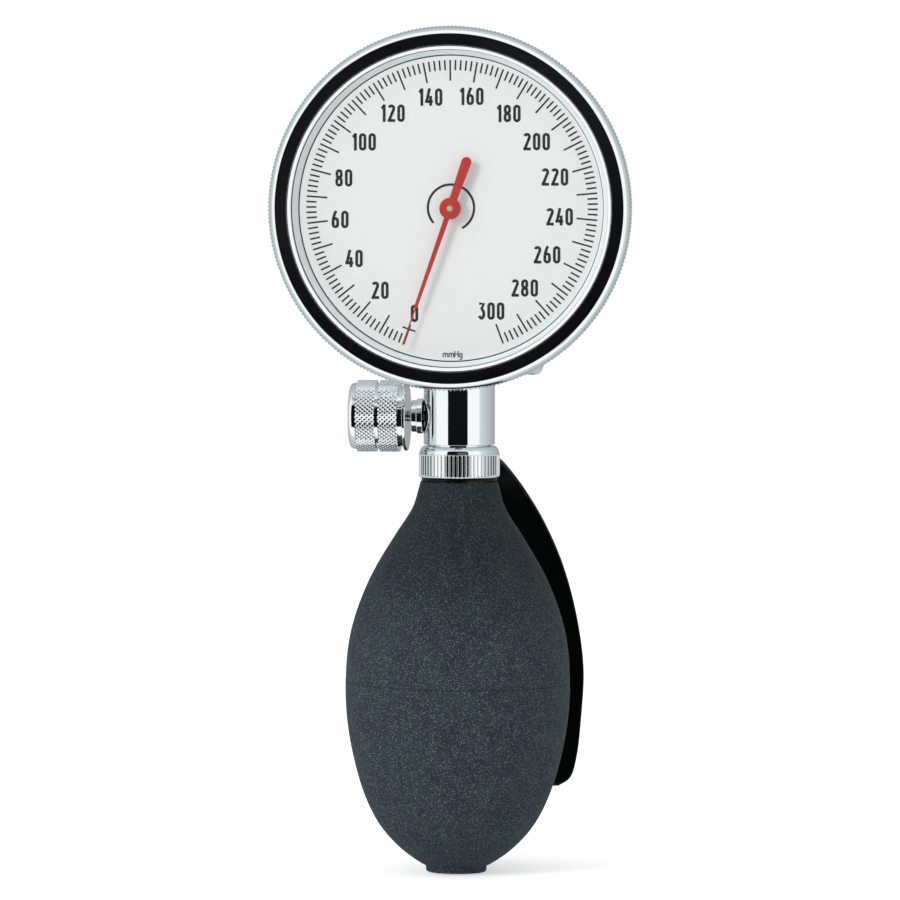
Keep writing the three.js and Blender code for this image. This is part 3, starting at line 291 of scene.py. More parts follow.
def finish(name, color, **sockets):
    """A material whose Principled BSDF has these plain sockets."""
    made = bpy.data.materials.new(name)
    made.use_nodes = True
    inputs = principled(made).inputs
    inputs["Base Color"].default_value = (*color, 1)
    for key, value in sockets.items():
        inputs[key.replace("_", " ")].default_value = value
    return made


def worn(material, rough, bump, patch_scale=60.0, line_scale=900.0, line_stretch=0.08):
    """Adds handling wear: roughness between rough's two values, and hairlines bump millimetres high."""
    tree, inputs = material.node_tree, principled(material).inputs
    wear = node(tree, "ShaderNodeGroup", node_tree=handling_wear)
    wear.inputs["Patch Scale"].default_value = patch_scale
    wear.inputs["Line Scale"].default_value = line_scale
    wear.inputs["Line Stretch"].default_value = line_stretch
    spread = node(tree, "ShaderNodeMapRange", {"Value": wear.outputs["Patches"], "From Min": 0.3,
                                               "From Max": 0.7, "To Min": rough[0], "To Max": rough[1]})
    tree.links.new(spread.outputs[0], inputs["Roughness"])
    raised = node(tree, "ShaderNodeBump", {"Height": wear.outputs["Lines"], "Distance": bump * mm})
    tree.links.new(raised.outputs[0], inputs["Normal"])


def coat(piece, material):
    """Gives a piece its only material."""
    piece.data.materials.clear()
    piece.data.materials.append(material)


def dress(piece, material, slot, body="head", *replaced):
    """Coats a piece, puts it on its body and hides the nodes it stands for."""
    coat(piece, material)
    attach(piece, body)
    if replaced:
        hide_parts(*replaced)


def middle(name):
    """The middle of a node's box, in metres."""
    low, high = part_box(name)
    return (low + high) / 2


def half_size(name):
    """Half of a node's box in millimetres, along each axis."""
    low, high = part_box(name)
    return (high - low) / 2 / mm


def rear_and_front(name):
    """How far forward the back and the front of a node's box are, in millimetres."""
    low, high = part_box(name)
    return -high.y / mm, -low.y / mm


chrome = finish("polished_chrome", (0.92, 0.94, 0.95), Metallic=1.0)
worn(chrome, (0.035, 0.075), bump=0.0004, line_stretch=1.0, line_scale=260.0)
gauge = Vector((0, 0, middle("dial_plate").z))
case_rear, case_front = rear_and_front("case_shell")
case_flange, flange_overhang = half_size("case_shell").x, 1.3
case_radius = case_flange - flange_overhang
case_wall, case_corner, case_floor, flange_width = 1.2, 3, 1.5, 1.6
ring_groove, ring_groove_width = 0.15, 0.5


def back_ring(radius):
    """A fine groove turned into the back of the case."""
    half = ring_groove_width / 2
    return [(radius - half, case_rear, 0.06), (radius - half / 2, case_rear + ring_groove, 0.08),
            (radius + half / 2, case_rear + ring_groove, 0.08), (radius + half, case_rear, 0.06)]


case_profile = eased([
    (0, case_rear), *back_ring(20), *back_ring(25.5), (case_radius, case_rear, case_corner),
    (case_radius, case_front - flange_width, 0.2), (case_flange, case_front - flange_width, 0.15),
    (case_flange, case_front, 0.15), (case_radius - case_wall, case_front, 0.1),
    (case_radius - case_wall, case_rear + case_floor, 1.8), (0, case_rear + case_floor)], closed=False)
case = turned("case_cup", case_profile, "front", gauge, segments=256)
dress(case, chrome, "chrome", "head", "case_shell")

# Bezel: a turned and polished ring with a groove for the black inlay, a rolled front edge, a finely
# serrated band with a small pry lug, and a plain skirt clinched behind the case's flange.
bezel_rear, bezel_front = rear_and_front("bezel_ring")
groove_play, groove_width = 0.1, 2.3  # the groove that the inlay lies in
inlay_outer = half_size("bezel_inlay").x + groove_play
inlay_inner = inlay_outer - groove_width
inlay_floor = rear_and_front("bezel_inlay")[0] - groove_play
rim_width, skirt_step, lip_width, lip_depth = 1.54, 0.54, 0.85, 0.4
bezel_radius = inlay_outer + rim_width
skirt_radius = bezel_radius - skirt_step
lip_radius = inlay_inner - lip_width
lip_rear = inlay_floor - lip_depth
case_play, clinch_height, neck_depth = 0.3, 1.9, 0.6
pocket_radius, throat_radius = case_flange + case_play, case_radius + case_play
roll_radius, roll_start, roll_end = 1.78, 20, 80  # the rolled edge's arc, in degrees from the front
serration_depth, serration_count = 0.26, 288
band_rear, band_front, band_step = bezel_front - 3.5, bezel_front - 1.95, 0.33
lug_angle, lug_height, lug_ramp, lug_fall, lug_lean = math.radians(-61.4), 0.95, 3.0, 1.8, 1.2


def bezel_shape(turn, radii, heights):
    """Cuts the serration into the band and raises the pry lug from it."""
    grown = np.clip((radii - bezel_radius + band_step) / band_step, 0, 1) * (heights > band_rear)
    cusps = serration_depth * np.abs(np.sin(turn * serration_count / 2))
    along = np.angle(np.exp(1j * (turn - lug_angle))) * bezel_radius
    rise = np.clip((along + lug_ramp) / lug_ramp, 0, 1)
    fall = np.clip((lug_fall - along) / lug_fall, 0, 1)
    lug = np.where(along < 0, rise * rise * (3 - 2 * rise), fall * fall * (3 - 2 * fall))
    serration = (serration_depth - cusps) * np.clip(1 - 2.5 * lug, 0, 1)
    lug = lug * np.clip((band_front - heights) / lug_lean, 0, 1)
    return radii + (lug_height * lug - serration) * grown, heights


crest_radius = inlay_outer + 0.12
roll_angles = np.radians(np.linspace(roll_start, roll_end, 13))
roll = [(crest_radius + roll_radius * (math.sin(a) - math.sin(roll_angles[0])),
         bezel_front + roll_radius * (math.cos(a) - math.cos(roll_angles[0]))) for a in roll_angles]
band_rows = [(bezel_radius, height) for height in np.linspace(band_rear + 0.02, band_front, 8)]
bezel_profile = [
    (lip_radius, lip_rear), (pocket_radius, lip_rear), (pocket_radius, case_front - clinch_height),
    (throat_radius, case_front - clinch_height),
    *eased([(throat_radius, bezel_rear), (skirt_radius, bezel_rear, 0.35),
            (skirt_radius, band_rear - 2.3, 0.15), (skirt_radius - neck_depth, band_rear - 1.7, 0.15),
            (skirt_radius - neck_depth, band_rear - 0.5, 0.15), (bezel_radius - band_step, band_rear)],
           closed=False),
    *band_rows, *roll[::-1],
    *eased([(crest_radius, bezel_front), (inlay_outer, bezel_front - 0.06, 0.05),
            (inlay_outer, inlay_floor), (inlay_inner, inlay_floor),
            (inlay_inner, bezel_front - 0.12, 0.05),
            (inlay_inner - 0.16, bezel_front - 0.1, 0.08), (lip_radius, bezel_front - 0.5, 0.1),
            (lip_radius, lip_rear)], closed=False)[1:-1]]
bezel = turned("bezel", bezel_profile, "front", gauge, segments=1152, shape=bezel_shape)
bezel.visible_shadow = False  # so that the lamp reaches the dial's edge
dress(bezel, chrome, "chrome", "head", "bezel_ring")

# Inlay: a black enamelled ring lying in the bezel's groove, its face slightly coned so that it
# catches a slate sheen at the top and right.
enamel = finish("black_enamel", (0.003, 0.003, 0.004), Coat_Weight=0.6, Coat_Roughness=0.12)
worn(enamel, (0.22, 0.34), bump=0.0006, line_stretch=1.0, line_scale=420.0)
inlay_rear, inlay_front = inlay_floor + groove_play, bezel_front - 0.26
inlay_cone, bevel_slope, bevel_start = 0.13, 1.2, 0.92
inlay_middle, inlay_half = (inlay_inner + inlay_outer) / 2, groove_width / 2 - groove_play
crown = [(inlay_middle + inlay_half * s,
          inlay_front - inlay_cone * s - bevel_slope * max(0, abs(s) - bevel_start))
         for s in np.linspace(1, -1, 51)]
inlay = turned("black_inlay", [(inlay_middle - inlay_half, inlay_rear),
                               (inlay_middle + inlay_half, inlay_rear), *crown],
               "front", gauge, segments=384)
inlay.visible_shadow = False
dress(inlay, enamel, "black_enamel", "head", "bezel_inlay")

# Crystal: the flat mineral window, with polished edges, held by the bezel's lip.
glass = finish("window_glass", (1, 1, 1), Roughness=0.02, IOR=1.45, Transmission_Weight=1.0)
tree = glass.node_tree
path = node(tree, "ShaderNodeLightPath")
unseen = larger(tree, path.outputs["Is Shadow Ray"], path.outputs["Is Diffuse Ray"])
through = node(tree, "ShaderNodeBsdfTransparent")
mixed = node(tree, "ShaderNodeMixShader", {0: unseen, 1: principled(glass).outputs[0],
                                           2: through.outputs[0]})
tree.links.new(mixed.outputs[0], tree.nodes["Material Output"].inputs["Surface"])
glass_rear, glass_front = rear_and_front("crystal")
glass_radius, glass_edge = half_size("crystal").x, 0.2
crystal = turned("window", eased([
    (0, glass_rear), (glass_radius, glass_rear, glass_edge), (glass_radius, glass_front, glass_edge),
    (0, glass_front)], closed=False), "front", gauge, segments=256)
dress(crystal, glass, "crystal", "head", "crystal")

# Gasket: a black rubber ring between the window and the ring below it. It shows only as a fine
# dark line inside the bezel's lip.
seal = finish("seal_rubber", (0.022, 0.023, 0.024))
worn(seal, (0.6, 0.8), bump=0.006, line_stretch=1.0, line_scale=1200.0)
gasket_rear, gasket_front = rear_and_front("crystal_gasket")
gasket_inner, gasket_outer = lip_radius - 0.08, half_size("crystal_gasket").x
gasket = turned("window_gasket", eased([
    (gasket_inner, gasket_rear, 0.2), (gasket_outer, gasket_rear, 0.1),
    (gasket_outer, gasket_front, 0.1), (gasket_inner, gasket_front, 0.2)]), "front", gauge, segments=256)
gasket.visible_shadow = False
dress(gasket, seal, "seal_rubber", "head", "crystal_gasket")

# Reflector ring: the pale stepped ring between the glass and the dial. It keeps the glass off the
# scale and brightens the dial's edge.
pale = finish("pale_ring_lacquer", (0.8, 0.87, 0.86), Specular_IOR_Level=0.3)
worn(pale, (0.4, 0.5), bump=0.0008, line_stretch=0.3, line_scale=700.0)
reflector_rear, reflector_front = rear_and_front("reflector_ring")
dial_radius = half_size("dial_plate").x
reflector_inner = dial_radius - 0.55
reflector_lip = lip_radius - 0.22
reflector = turned("dial_surround", eased([
    (reflector_inner, reflector_rear), (dial_radius, reflector_rear),
    (glass_radius, reflector_rear + 1), (glass_radius, reflector_front),
    (reflector_lip, reflector_front, 0.08),
    (reflector_inner + 0.2, reflector_front - 0.7, 0.1), (reflector_inner, reflector_front - 1, 0.08)]),
    "front", gauge, segments=384)
reflector.visible_shadow = False
dress(reflector, pale, "pale_ring", "head", "reflector_ring")

# Dial plate: a thin metal disc, stove-enamelled white, with a plain hole for the pointer's arbor.
white_enamel = finish("white_enamel", (0.8, 0.82, 0.815), Specular_IOR_Level=0.3)
worn(white_enamel, (0.42, 0.55), bump=0.0008, patch_scale=35.0, line_stretch=1.0, line_scale=600.0)
dial_rear, dial_face = rear_and_front("dial_plate")
dial_hole = 1.8
dial = turned("dial", eased([
    (dial_hole, dial_rear), (dial_radius, dial_rear), (dial_radius, dial_face, 0.1),
    (dial_hole, dial_face, 0.1)]), "front", gauge, segments=384)
dress(dial, white_enamel, "dial_white", "head", "dial_plate")

# Print: a scale of 0 to 300 in steps of 2, numbers at every 20, the unit, and an open arc round
# the hub, screen printed in black a little above the enamel, and a thin black ring round the dial's
# edge that is painted shade. The print sits slightly high and to the right on the plate.
ink = finish("black_print", (0.004, 0.004, 0.004), Specular_IOR_Level=0.12)
worn(ink, (0.45, 0.6), bump=0.0003, line_scale=1500.0)
print_thickness = 0.03
print_place = np.array((0.15, 0.37))
figure_width, figure_height = 1.49, 3.46


def strokes_mesh(name, strokes, thickness, face):
    """A flat piece of strokes on the dial. Each stroke is (points, half width or half widths)."""
    points, faces = [], []
    for line, half in strokes:
        line = np.array(line, float)
        half = np.broadcast_to(np.array(half, float), len(line))[:, None]
        along = np.gradient(line, axis=0)
        along /= np.linalg.norm(along, axis=1)[:, None]
        side = np.stack((-along[:, 1], along[:, 0]), 1) * half
        first = len(points)
        for left, right in zip(line + side, line - side):
            for (x, z), level in ((left, 0), (right, 0), (right, thickness), (left, thickness)):
                points.append((x * mm, -(face + level) * mm, gauge.z + z * mm))
        for i in range(len(line) - 1):
            a, b = first + 4 * i, first + 4 * i + 4
            faces += [(a + k, a + (k + 1) % 4, b + (k + 1) % 4, b + k) for k in range(4)]
        last = first + 4 * (len(line) - 1)
        faces += [(first + 3, first + 2, first + 1, first), (last, last + 1, last + 2, last + 3)]
    return new_mesh(name, points, faces, 20)


def arc(x, y, across, up, start, end, steps=14):
    """Points of an arc from start to end degrees, anticlockwise from the right."""
    turn = np.radians(np.linspace(start, end, steps))
    return [(x + across * math.cos(t), y + up * math.sin(t)) for t in turn]


def figures(half):
    """Centre lines of the narrow upright figures, for the middle of strokes 2 * half wide."""
    wide, top = figure_width / 2 - half, figure_height / 2 - half
    low, high = -top + wide, top - wide
    oval = [*arc(0, high, wide, wide, 0, 180), *arc(0, low, wide, wide, 180, 360), (wide, high)]
    small = wide * 0.92
    return {
        "0": [oval],
        "1": [[(0.1, -1.72), (0.1, 1.72)], [(-0.45, 0.97), (-0.12, 1.17), (0.08, 1.56)]],
        "2": [[*arc(0, high, wide, wide, 165, 0), *arc(0, high, wide, wide * 1.4, -8, -38, 5),
               (-wide * 0.98, -top), (-wide * 0.98, -top + 0.001)],
              [(-wide - half, -top), (wide + half, -top)]],
        "3": [[(-wide, top), (wide * 0.95, top), (-0.05, 0.28)],
              arc(0, (0.3 - top) / 2, wide, (0.3 + top) / 2, 100, -155)],
        "4": [[(0.08, 1.72), (-wide - 0.02, -0.8)], [(-wide - half * 1.3, -0.88), (wide + half, -0.88)],
              [(0.3, 0.25), (0.3, -1.72)]],
        "6": [[*arc(0, -0.3, wide, wide * 1.05, 0, 180), *arc(0, low, wide, wide, 180, 360),
               (wide, -0.3)],
              [(-wide, -0.35), (-wide * 0.8, 0.35), (-0.12, 1.15), (0.14, 1.72)]],
        "8": [[*arc(0, top - small, small, small, 0, 180),
               *arc(0, 0.12 + small, small, small, 180, 360), (small, top - small)],
              [*arc(0, -0.08 - wide, wide, wide, 0, 180), *arc(0, low, wide, wide, 180, 360),
               (wide, -0.08 - wide)]],
    }


scale_top, scale_sweep = 300, 320
scale_twist = math.radians(0.67)
tick_outer, tick_short, tick_long, tick_half = 29.0, 2.0, 4.1, 0.165
number_edge, number_pitch, narrow_pitch, number_half = 24.35, 1.9, 1.55, 0.285
outer_numbers, outer_shift = (100, 120, 280, 300), 0.4  # these stand a little further out
shapes = figures(number_half)


def on_dial(value, radius):
    """A place on the scale, from the dial's centre."""
    turn = math.radians(90 + scale_sweep / 2 - value * scale_sweep / scale_top) + scale_twist
    return np.array((radius * math.cos(turn), radius * math.sin(turn)))


def number_middle(value, wide, high):
    """Where a number of this half width and height stands: its box touches the numbers' circle."""
    toward_edge = on_dial(value, 1)
    reach = wide * abs(toward_edge[0]) + high * abs(toward_edge[1])
    edge = number_edge + (outer_shift if value in outer_numbers else 0)
    return toward_edge * (math.sqrt(reach ** 2 - wide ** 2 - high ** 2 + edge ** 2) - reach)


marks = []
for value in range(0, scale_top + 1, 2):
    length = tick_short if value % 10 else tick_long
    marks.append(([on_dial(value, tick_outer), on_dial(value, tick_outer - length)], tick_half))
zero_cross_radius, zero_cross_half = 25.8, 1.35
zero_out = on_dial(0, 1)
zero_across = np.array((-zero_out[1], zero_out[0])) * zero_cross_half
zero_middle = on_dial(0, zero_cross_radius)
marks.append(([zero_middle - zero_across, zero_middle + zero_across], tick_half))
for value in range(0, scale_top + 1, 20):
    digits = str(value)
    steps = [0, *[narrow_pitch if digit == "1" else number_pitch for digit in digits[:-1]]]
    run = sum(steps) / 2
    at = number_middle(value, run + 0.74, figure_height / 2) - (run, 0)
    for digit, step in zip(digits, steps):
        at = at + (step, 0)
        marks += [([np.array(point) + at for point in line], number_half) for line in shapes[digit]]
unit_half, unit_place = 0.1, (0.35, -29.4)
letter_m = [[(-0.45, -0.5), (-0.45, 0.3)],
            [(-0.45, 0.1), *arc(-0.23, 0.06, 0.22, 0.24, 150, 0, 7), (0, -0.5)],
            [(0, 0.1), *arc(0.22, 0.06, 0.22, 0.24, 150, 0, 7), (0.45, -0.5)]]
letter_h = [[(-0.33, -0.5), (-0.33, 0.75)], [(0.33, -0.5), (0.33, 0.75)], [(-0.33, 0.14), (0.33, 0.14)]]
letter_g = [arc(0, -0.1, 0.26, 0.36, 0, 360, 20),
            [(0.27, 0.28), (0.27, -0.6), *arc(0, -0.62, 0.27, 0.27, 0, -150, 8)]]
for letter, shift in ((letter_m, -1.62), (letter_m, -0.45), (letter_h, 0.58), (letter_g, 1.42)):
    marks += [([np.array(point) + unit_place + (shift, 0) for point in line], unit_half)
              for line in letter]
marks = [(np.array(line) + print_place, half) for line, half in marks]
hub_arc_radius, hub_arc_half, hub_arc_start, hub_arc_end = 4.6, 0.235, 221.3, -61.2
marks.append((arc(-0.02, 0.13, hub_arc_radius, hub_arc_radius, hub_arc_start, hub_arc_end, 72),
              hub_arc_half))
# Painted shadow: a thin black ring in the print at the dial's edge stands in for the shadow gap under the
# reflector ring.
shade_ring_radius, shade_ring_half = reflector_inner - 0.08, 0.15
marks.append((arc(0, 0, shade_ring_radius, shade_ring_radius, 0, 359.9, 361), shade_ring_half))
scale = strokes_mesh("dial_print", marks, print_thickness, dial_face)
dress(scale, ink, "black_enamel")

# Pointer: a red lacquered blade with a fine tip and a round-ended tail, staked to a turned hub on
# the pinion's arbor.
red = finish("red_lacquer", (0.44, 0.015, 0.012), Specular_IOR_Level=0.2)
worn(red, (0.3, 0.45), bump=0.0006, line_stretch=1.0, line_scale=900.0)
hub_front = rear_and_front("pinion_arbor")[1] - 0.2
hub_rear = hub_front - 1.2
blade_rear, blade_thickness = hub_rear + 0.4, 0.3
needle_length, needle_half, shoulder, shoulder_half, tip_half = 28.7, 0.55, 20.5, 0.33, 0.13
tail_length, tail_half, tail_neck_half = 10.75, 1.0, 0.72
hub_radius, hub_bore, pin_radius = 2.14, 0.5, 0.62
blade = [(tail_length, 0.02)]
blade += [(tail_length - tail_half * (1 - math.cos(t)), tail_half * math.sin(t))
          for t in np.linspace(0.15, 1.57, 9)]
blade += [(0, tail_neck_half), (-0.01, needle_half), (-shoulder, shoulder_half),
          (-shoulder - 0.66, tip_half), (-needle_length + 0.1, tip_half), (-needle_length, 0.04)]
blade_strokes = [([zero_out * -reach for reach, _ in blade], [half for _, half in blade])]
pointer = strokes_mesh("pointer_blade", blade_strokes, blade_thickness, blade_rear)
edge = pointer.modifiers.new("edge", "BEVEL")
edge.width, edge.segments, edge.limit_method = 0.07 * mm, 3, "ANGLE"
dress(pointer, red, "pointer_red", "pointer_set", "pointer")
hub = turned("pointer_hub", eased([
    (hub_bore, hub_rear), (hub_radius - 0.5, hub_rear, 0.2), (hub_radius, hub_rear + 0.5, 0.15),
    (hub_radius, hub_front - 0.25, 0.1), (hub_radius - 0.25, hub_front - 0.12, 0.1),
    (1.25, hub_front - 0.12, 0.05), (1.15, hub_front, 0.06), (hub_bore, hub_front, 0.06)]),
    "front", gauge, segments=96)
dress(hub, red, "pointer_red", "pointer_set")
brass = finish("turned_brass", (0.5, 0.35, 0.12), Metallic=1.0)
worn(brass, (0.24, 0.42), bump=0.002, line_scale=1400.0)
pin = turned("pointer_pin", eased([
    (0, hub_front - 0.2), (pin_radius, hub_front - 0.2), (pin_radius, hub_front + 0.12, 0.1),
    (0, hub_front + 0.22)], closed=False), "front", gauge, segments=48)
dress(pin, brass, "brass", "pointer_set")

# Stem: the turned and chromed body with the air ways. Its top is milled to the case's round, and
# its back has a flat under the hose nipple.
nut_bottom, nut_top = (corner.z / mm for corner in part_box("ring_nut"))
stem_bottom, spigot_bottom = nut_top + 0.3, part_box("stem_body")[0].z / mm
stem_radius, spigot_radius, saddle_radius = 7.15, 6.0, case_radius + 0.3
flat_depth, flat_bottom = 0.6, middle("hose_nipple").z / mm - 4.2
gauge_height = gauge.z / mm


def stem_shape(turn, radii, heights):
    """Follows the case at the top and cuts the flat at the back."""
    across = radii * np.cos(turn)
    saddle = gauge_height - np.sqrt(saddle_radius ** 2 - across ** 2)
    heights = np.minimum(heights, saddle)
    flat = stem_radius - flat_depth
    behind = radii * np.sin(turn)
    cut = (behind > flat) & (heights > flat_bottom)
    return np.where(cut, flat / np.maximum(np.sin(turn), 0.1), radii), heights


stem_top = gauge_height - case_radius + 2
stem = turned("stem", [
    *eased([(0, spigot_bottom), (spigot_radius, spigot_bottom, 0.2), (spigot_radius, stem_bottom),
            (stem_radius, stem_bottom, 0.22), (stem_radius, flat_bottom)], closed=False),
    (stem_radius, flat_bottom + 0.04), (stem_radius, stem_top),
    *[(stem_radius * share, stem_top + 2) for share in (0.99, 0.9, 0.75, 0.5, 0.25)],
    (0, stem_top + 2)], "up", segments=256, shape=stem_shape)
dress(stem, chrome, "chrome", "head", "stem_body")

# Ring nut: the hand nut that clamps the bulb's adapter and the spoon, with 60 rounded flutes and
# a polished dome above them.
nut_radius, nut_bore = half_size("ring_nut").x, spigot_radius + 0.3
cone_bottom, flute_count, flute_depth, flute_share = nut_top - 1.5, 60, 0.22, 0.46


def fluted(turn, radii, heights):
    """Narrow rounded flutes between plain lands, running out into the nut's rounded corners."""
    on_side = radii > nut_radius - 0.45
    above = np.clip((heights - nut_bottom - 0.1) / 0.5, 0, 1)
    below = np.clip((cone_bottom - 0.05 - heights) / 0.25, 0, 1)
    place = np.abs(np.mod(turn * flute_count / (2 * math.pi), 1) - 0.5) * 2 / flute_share
    flute = 0.5 + 0.5 * np.cos(np.pi * np.clip(place, 0, 1))
    return np.where(on_side, radii - flute_depth * flute * above * below, radii), heights


nut_side = [(nut_radius, height) for height in np.linspace(nut_bottom + 0.62, cone_bottom - 0.35, 6)]
nut = turned("hand_nut", [
    *eased([(nut_bore, nut_bottom), (nut_radius, nut_bottom, 0.55), (nut_radius, nut_bottom + 0.6)],
           closed=False),
    *nut_side,
    *eased([(nut_radius, cone_bottom - 0.3), (nut_radius, cone_bottom, 0.1),
            (nut_radius - 0.1, cone_bottom + 0.02, 0.02), (nut_radius - 0.32, nut_top - 0.45, 0.6),
            (stem_radius + 0.05, nut_top, 0.15), (nut_bore, nut_top)], closed=False)],
    "up", segments=1200, shape=fluted)
dress(nut, chrome, "chrome", "head", "ring_nut")

# Gland: the bush screwed into the stem's left side, with a thin collar against its washer.
valve_axis = Vector((0, 0, middle("release_knob").z))
gland_face, gland_radius, valve_bore = -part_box("valve_gland")[0].x / mm, 3.2, 1.3
gland_collar = -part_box("gland_washer")[0].x / mm + 0.1
washer_radius, cup_radius, cup_edge = gland_radius - 0.02, gland_radius + 0.32, stem_radius + 0.12
gland = turned("gland", eased([
    (valve_bore, gland_collar), (washer_radius, gland_collar), (washer_radius, cup_edge),
    (cup_radius, cup_edge, 0.1), (cup_radius, gland_collar + 0.6, 0.15),
    (gland_radius, gland_collar + 0.62, 0.05), (gland_radius, gland_face, 0.25),
    (valve_bore, gland_face)]), "left", valve_axis, segments=128)
dress(gland, chrome, "chrome", "head", "valve_gland")

# Release knob: turned with two diamond-knurled bands, a wide and a narrow groove and a flange, and
# closed by a domed cap.
knob_low, knob_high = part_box("release_knob")
knob_inner, knob_outer = -knob_high.x / mm + 0.45, -knob_low.x / mm
knob_radius, band_width, knob_flange, wide_groove, narrow_groove = 7.2, 3.85, 0.65, 1.0, 0.7
groove_edge, wide_depth, narrow_depth, overlap = 0.35, 1.0, 0.6, 0.02
knurl_depth, knurl_count, knurl_steps = 0.1, 52, 8  # steps to one knurl, round the knob and along it
knurl_rows, knurl_wall, knob_segments = 33, 2.3, knurl_count * knurl_steps
band_one = knob_inner + knob_flange + wide_groove
band_two = band_one + band_width + narrow_groove


def knurled(turn, radii, heights):
    """Crossed cuts that leave flat-topped diamonds on the two bands."""
    step = np.round(turn * knob_segments / (2 * math.pi))
    for start in (band_one, band_two):
        row = np.round((heights - start) / band_width * (knurl_rows - 1))
        on_band = (radii > knob_radius - 0.01) & (row >= 0) & (row < knurl_rows)
        cuts = np.mod(step + row, knurl_steps), np.mod(step - row, knurl_steps)
        nearest = np.minimum(*(np.minimum(cut, knurl_steps - cut) for cut in cuts))
        rise = np.clip(nearest / knurl_wall, 0, 1)
        radii = np.where(on_band, radii - knurl_depth * (1 - rise), radii)
    return radii, heights


flange_radius, edge_radius = knob_radius - 0.2, knob_radius - groove_edge
wide_floor, narrow_floor = knob_radius - wide_depth, knob_radius - narrow_depth
knob_profile = [*eased([
    (valve_bore, knob_inner), (flange_radius, knob_inner, 0.25),
    (flange_radius, knob_inner + knob_flange, 0.12), (wide_floor, knob_inner + knob_flange),
    (wide_floor, band_one), (edge_radius, band_one - overlap)], closed=False)]
knurls = []
for start in (band_one, band_two):
    knurls.append((len(knob_profile), len(knob_profile) + knurl_rows - 1))
    knob_profile += [(knob_radius, height) for height in np.linspace(start, start + band_width, knurl_rows)]
    if start == band_one:
        groove_start, groove_end = start + band_width + overlap, band_two - overlap
        knob_profile += [(edge_radius, groove_start), (narrow_floor, groove_start),
                         (narrow_floor, groove_end), (edge_radius, groove_end)]
knob_profile += [(edge_radius, band_two + band_width + overlap), (valve_bore, knob_outer)]
knob = turned("knob", knob_profile, "left", valve_axis, segments=knob_segments, shape=knurled,
              sharp_degrees=16, crossed=knurls)
dress(knob, chrome, "chrome", "knob", "release_knob")
cap_radius, cap_length, cap_base, cap_dome = 6.65, 1.45, knob_outer + 0.1, 0.1
cap = turned("knob_end_cap", eased([
    (0, cap_base), (cap_radius, cap_base), (cap_radius, cap_base + cap_length, 1.1),
    (0, cap_base + cap_length + cap_dome)], closed=False, steps=9), "left", valve_axis)
dress(cap, chrome, "chrome", "knob", "knob_cap")

# Hose nipple: screwed into the flat at the back of the stem, with a flange, a short land and four
# barbs that hold the cuff's hose.
nipple_axis, nipple_end = Vector((0, 0, middle("hose_nipple").z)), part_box("hose_nipple")[1].y / mm
flange_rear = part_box("nipple_washer")[1].y / mm + 0.1
nipple_face = flange_rear + 1.6
tube, bore, barb, barb_pitch, barb_count, first_barb = 2.2, 1.2, 2.7, 2.8, 4, 1.4
barbs = []
for k in range(barb_count):
    start = nipple_face + first_barb + k * barb_pitch
    barbs += [(tube, start, 0.05), (barb, start + 0.2, 0.08), (tube, start + barb_pitch - 0.3, 0.05)]
collar_radius, land = tube + 1.4, barb + 0.1
nipple = turned("barbed_nipple", eased([
    (bore, flange_rear), (collar_radius, flange_rear, 0.15), (collar_radius, nipple_face, 0.2),
    (land, nipple_face), (land, nipple_face + 0.5, 0.15), (tube, nipple_face + 0.6, 0.05), *barbs,
    ((tube + bore) / 2, nipple_end, 0.1), (bore, nipple_end, 0.05)]), "back", nipple_axis, segments=128)
dress(nipple, chrome, "chrome", "head", "hose_nipple")

# Bulb: moulded in dark grey rubber with a fine pale bloom, a parting line round its widest section
# and a short nub that holds the inlet valve. It leans a little to the left.
rubber = finish("bulb_rubber", (0.026, 0.036, 0.042), IOR=1.5, Specular_IOR_Level=0.3)
tree, rubber_inputs = rubber.node_tree, principled(rubber).inputs
where = node(tree, "ShaderNodeTexCoord").outputs["Object"]
mottle = node(tree, "ShaderNodeTexNoise", {"Vector": where, "Scale": 190.0, "Detail": 4.0,
                                           "Roughness": 0.6}).outputs["Fac"]
tint = ramp(tree, mottle, [(0.36, (0.018, 0.025, 0.041)), (0.5, (0.022, 0.033, 0.043)),
                           (0.66, (0.024, 0.043, 0.043))])
# Painted shade: the rubber's colour is scaled from 0.94 at mid height down to 0.48 at the neck, standing in
# for the shade under the gauge and ring nut.
height = node(tree, "ShaderNodeSeparateXYZ", {0: where}).outputs["Z"]
painted_neck_shade = node(tree, "ShaderNodeMapRange", {"Value": height, "From Min": 4 * mm, "From Max": 30 * mm,
                                            "To Min": 0.94, "To Max": 0.48},
               interpolation_type="SMOOTHSTEP").outputs[0]
specks = node(tree, "ShaderNodeTexVoronoi", {"Vector": where, "Scale": 5200.0})
speck_draw = node(tree, "ShaderNodeSeparateXYZ", {0: specks.outputs["Color"]}).outputs["X"]
chosen = node(tree, "ShaderNodeMapRange", {"Value": speck_draw, "From Min": 0.5}).outputs[0]
dots = node(tree, "ShaderNodeMapRange", {"Value": specks.outputs["Distance"], "From Min": 0.5,
                                         "From Max": 0.25}).outputs[0]
bloom = node(tree, "ShaderNodeMath", {0: chosen, 1: dots}, operation="MULTIPLY").outputs[0]
speckled = node(tree, "ShaderNodeMixRGB", {0: bloom, 1: tint, 2: (0.27, 0.345, 0.385, 1)})
darker = node(tree, "ShaderNodeVectorMath", {0: speckled.outputs[0], "Scale": painted_neck_shade},
              operation="SCALE")
tree.links.new(darker.outputs[0], rubber_inputs["Base Color"])
dull = node(tree, "ShaderNodeMapRange", {"Value": mottle, "To Min": 0.65, "To Max": 0.85})
tree.links.new(dull.outputs[0], rubber_inputs["Roughness"])
grain = node(tree, "ShaderNodeTexNoise", {"Vector": where, "Scale": 2600.0, "Roughness": 0.6})
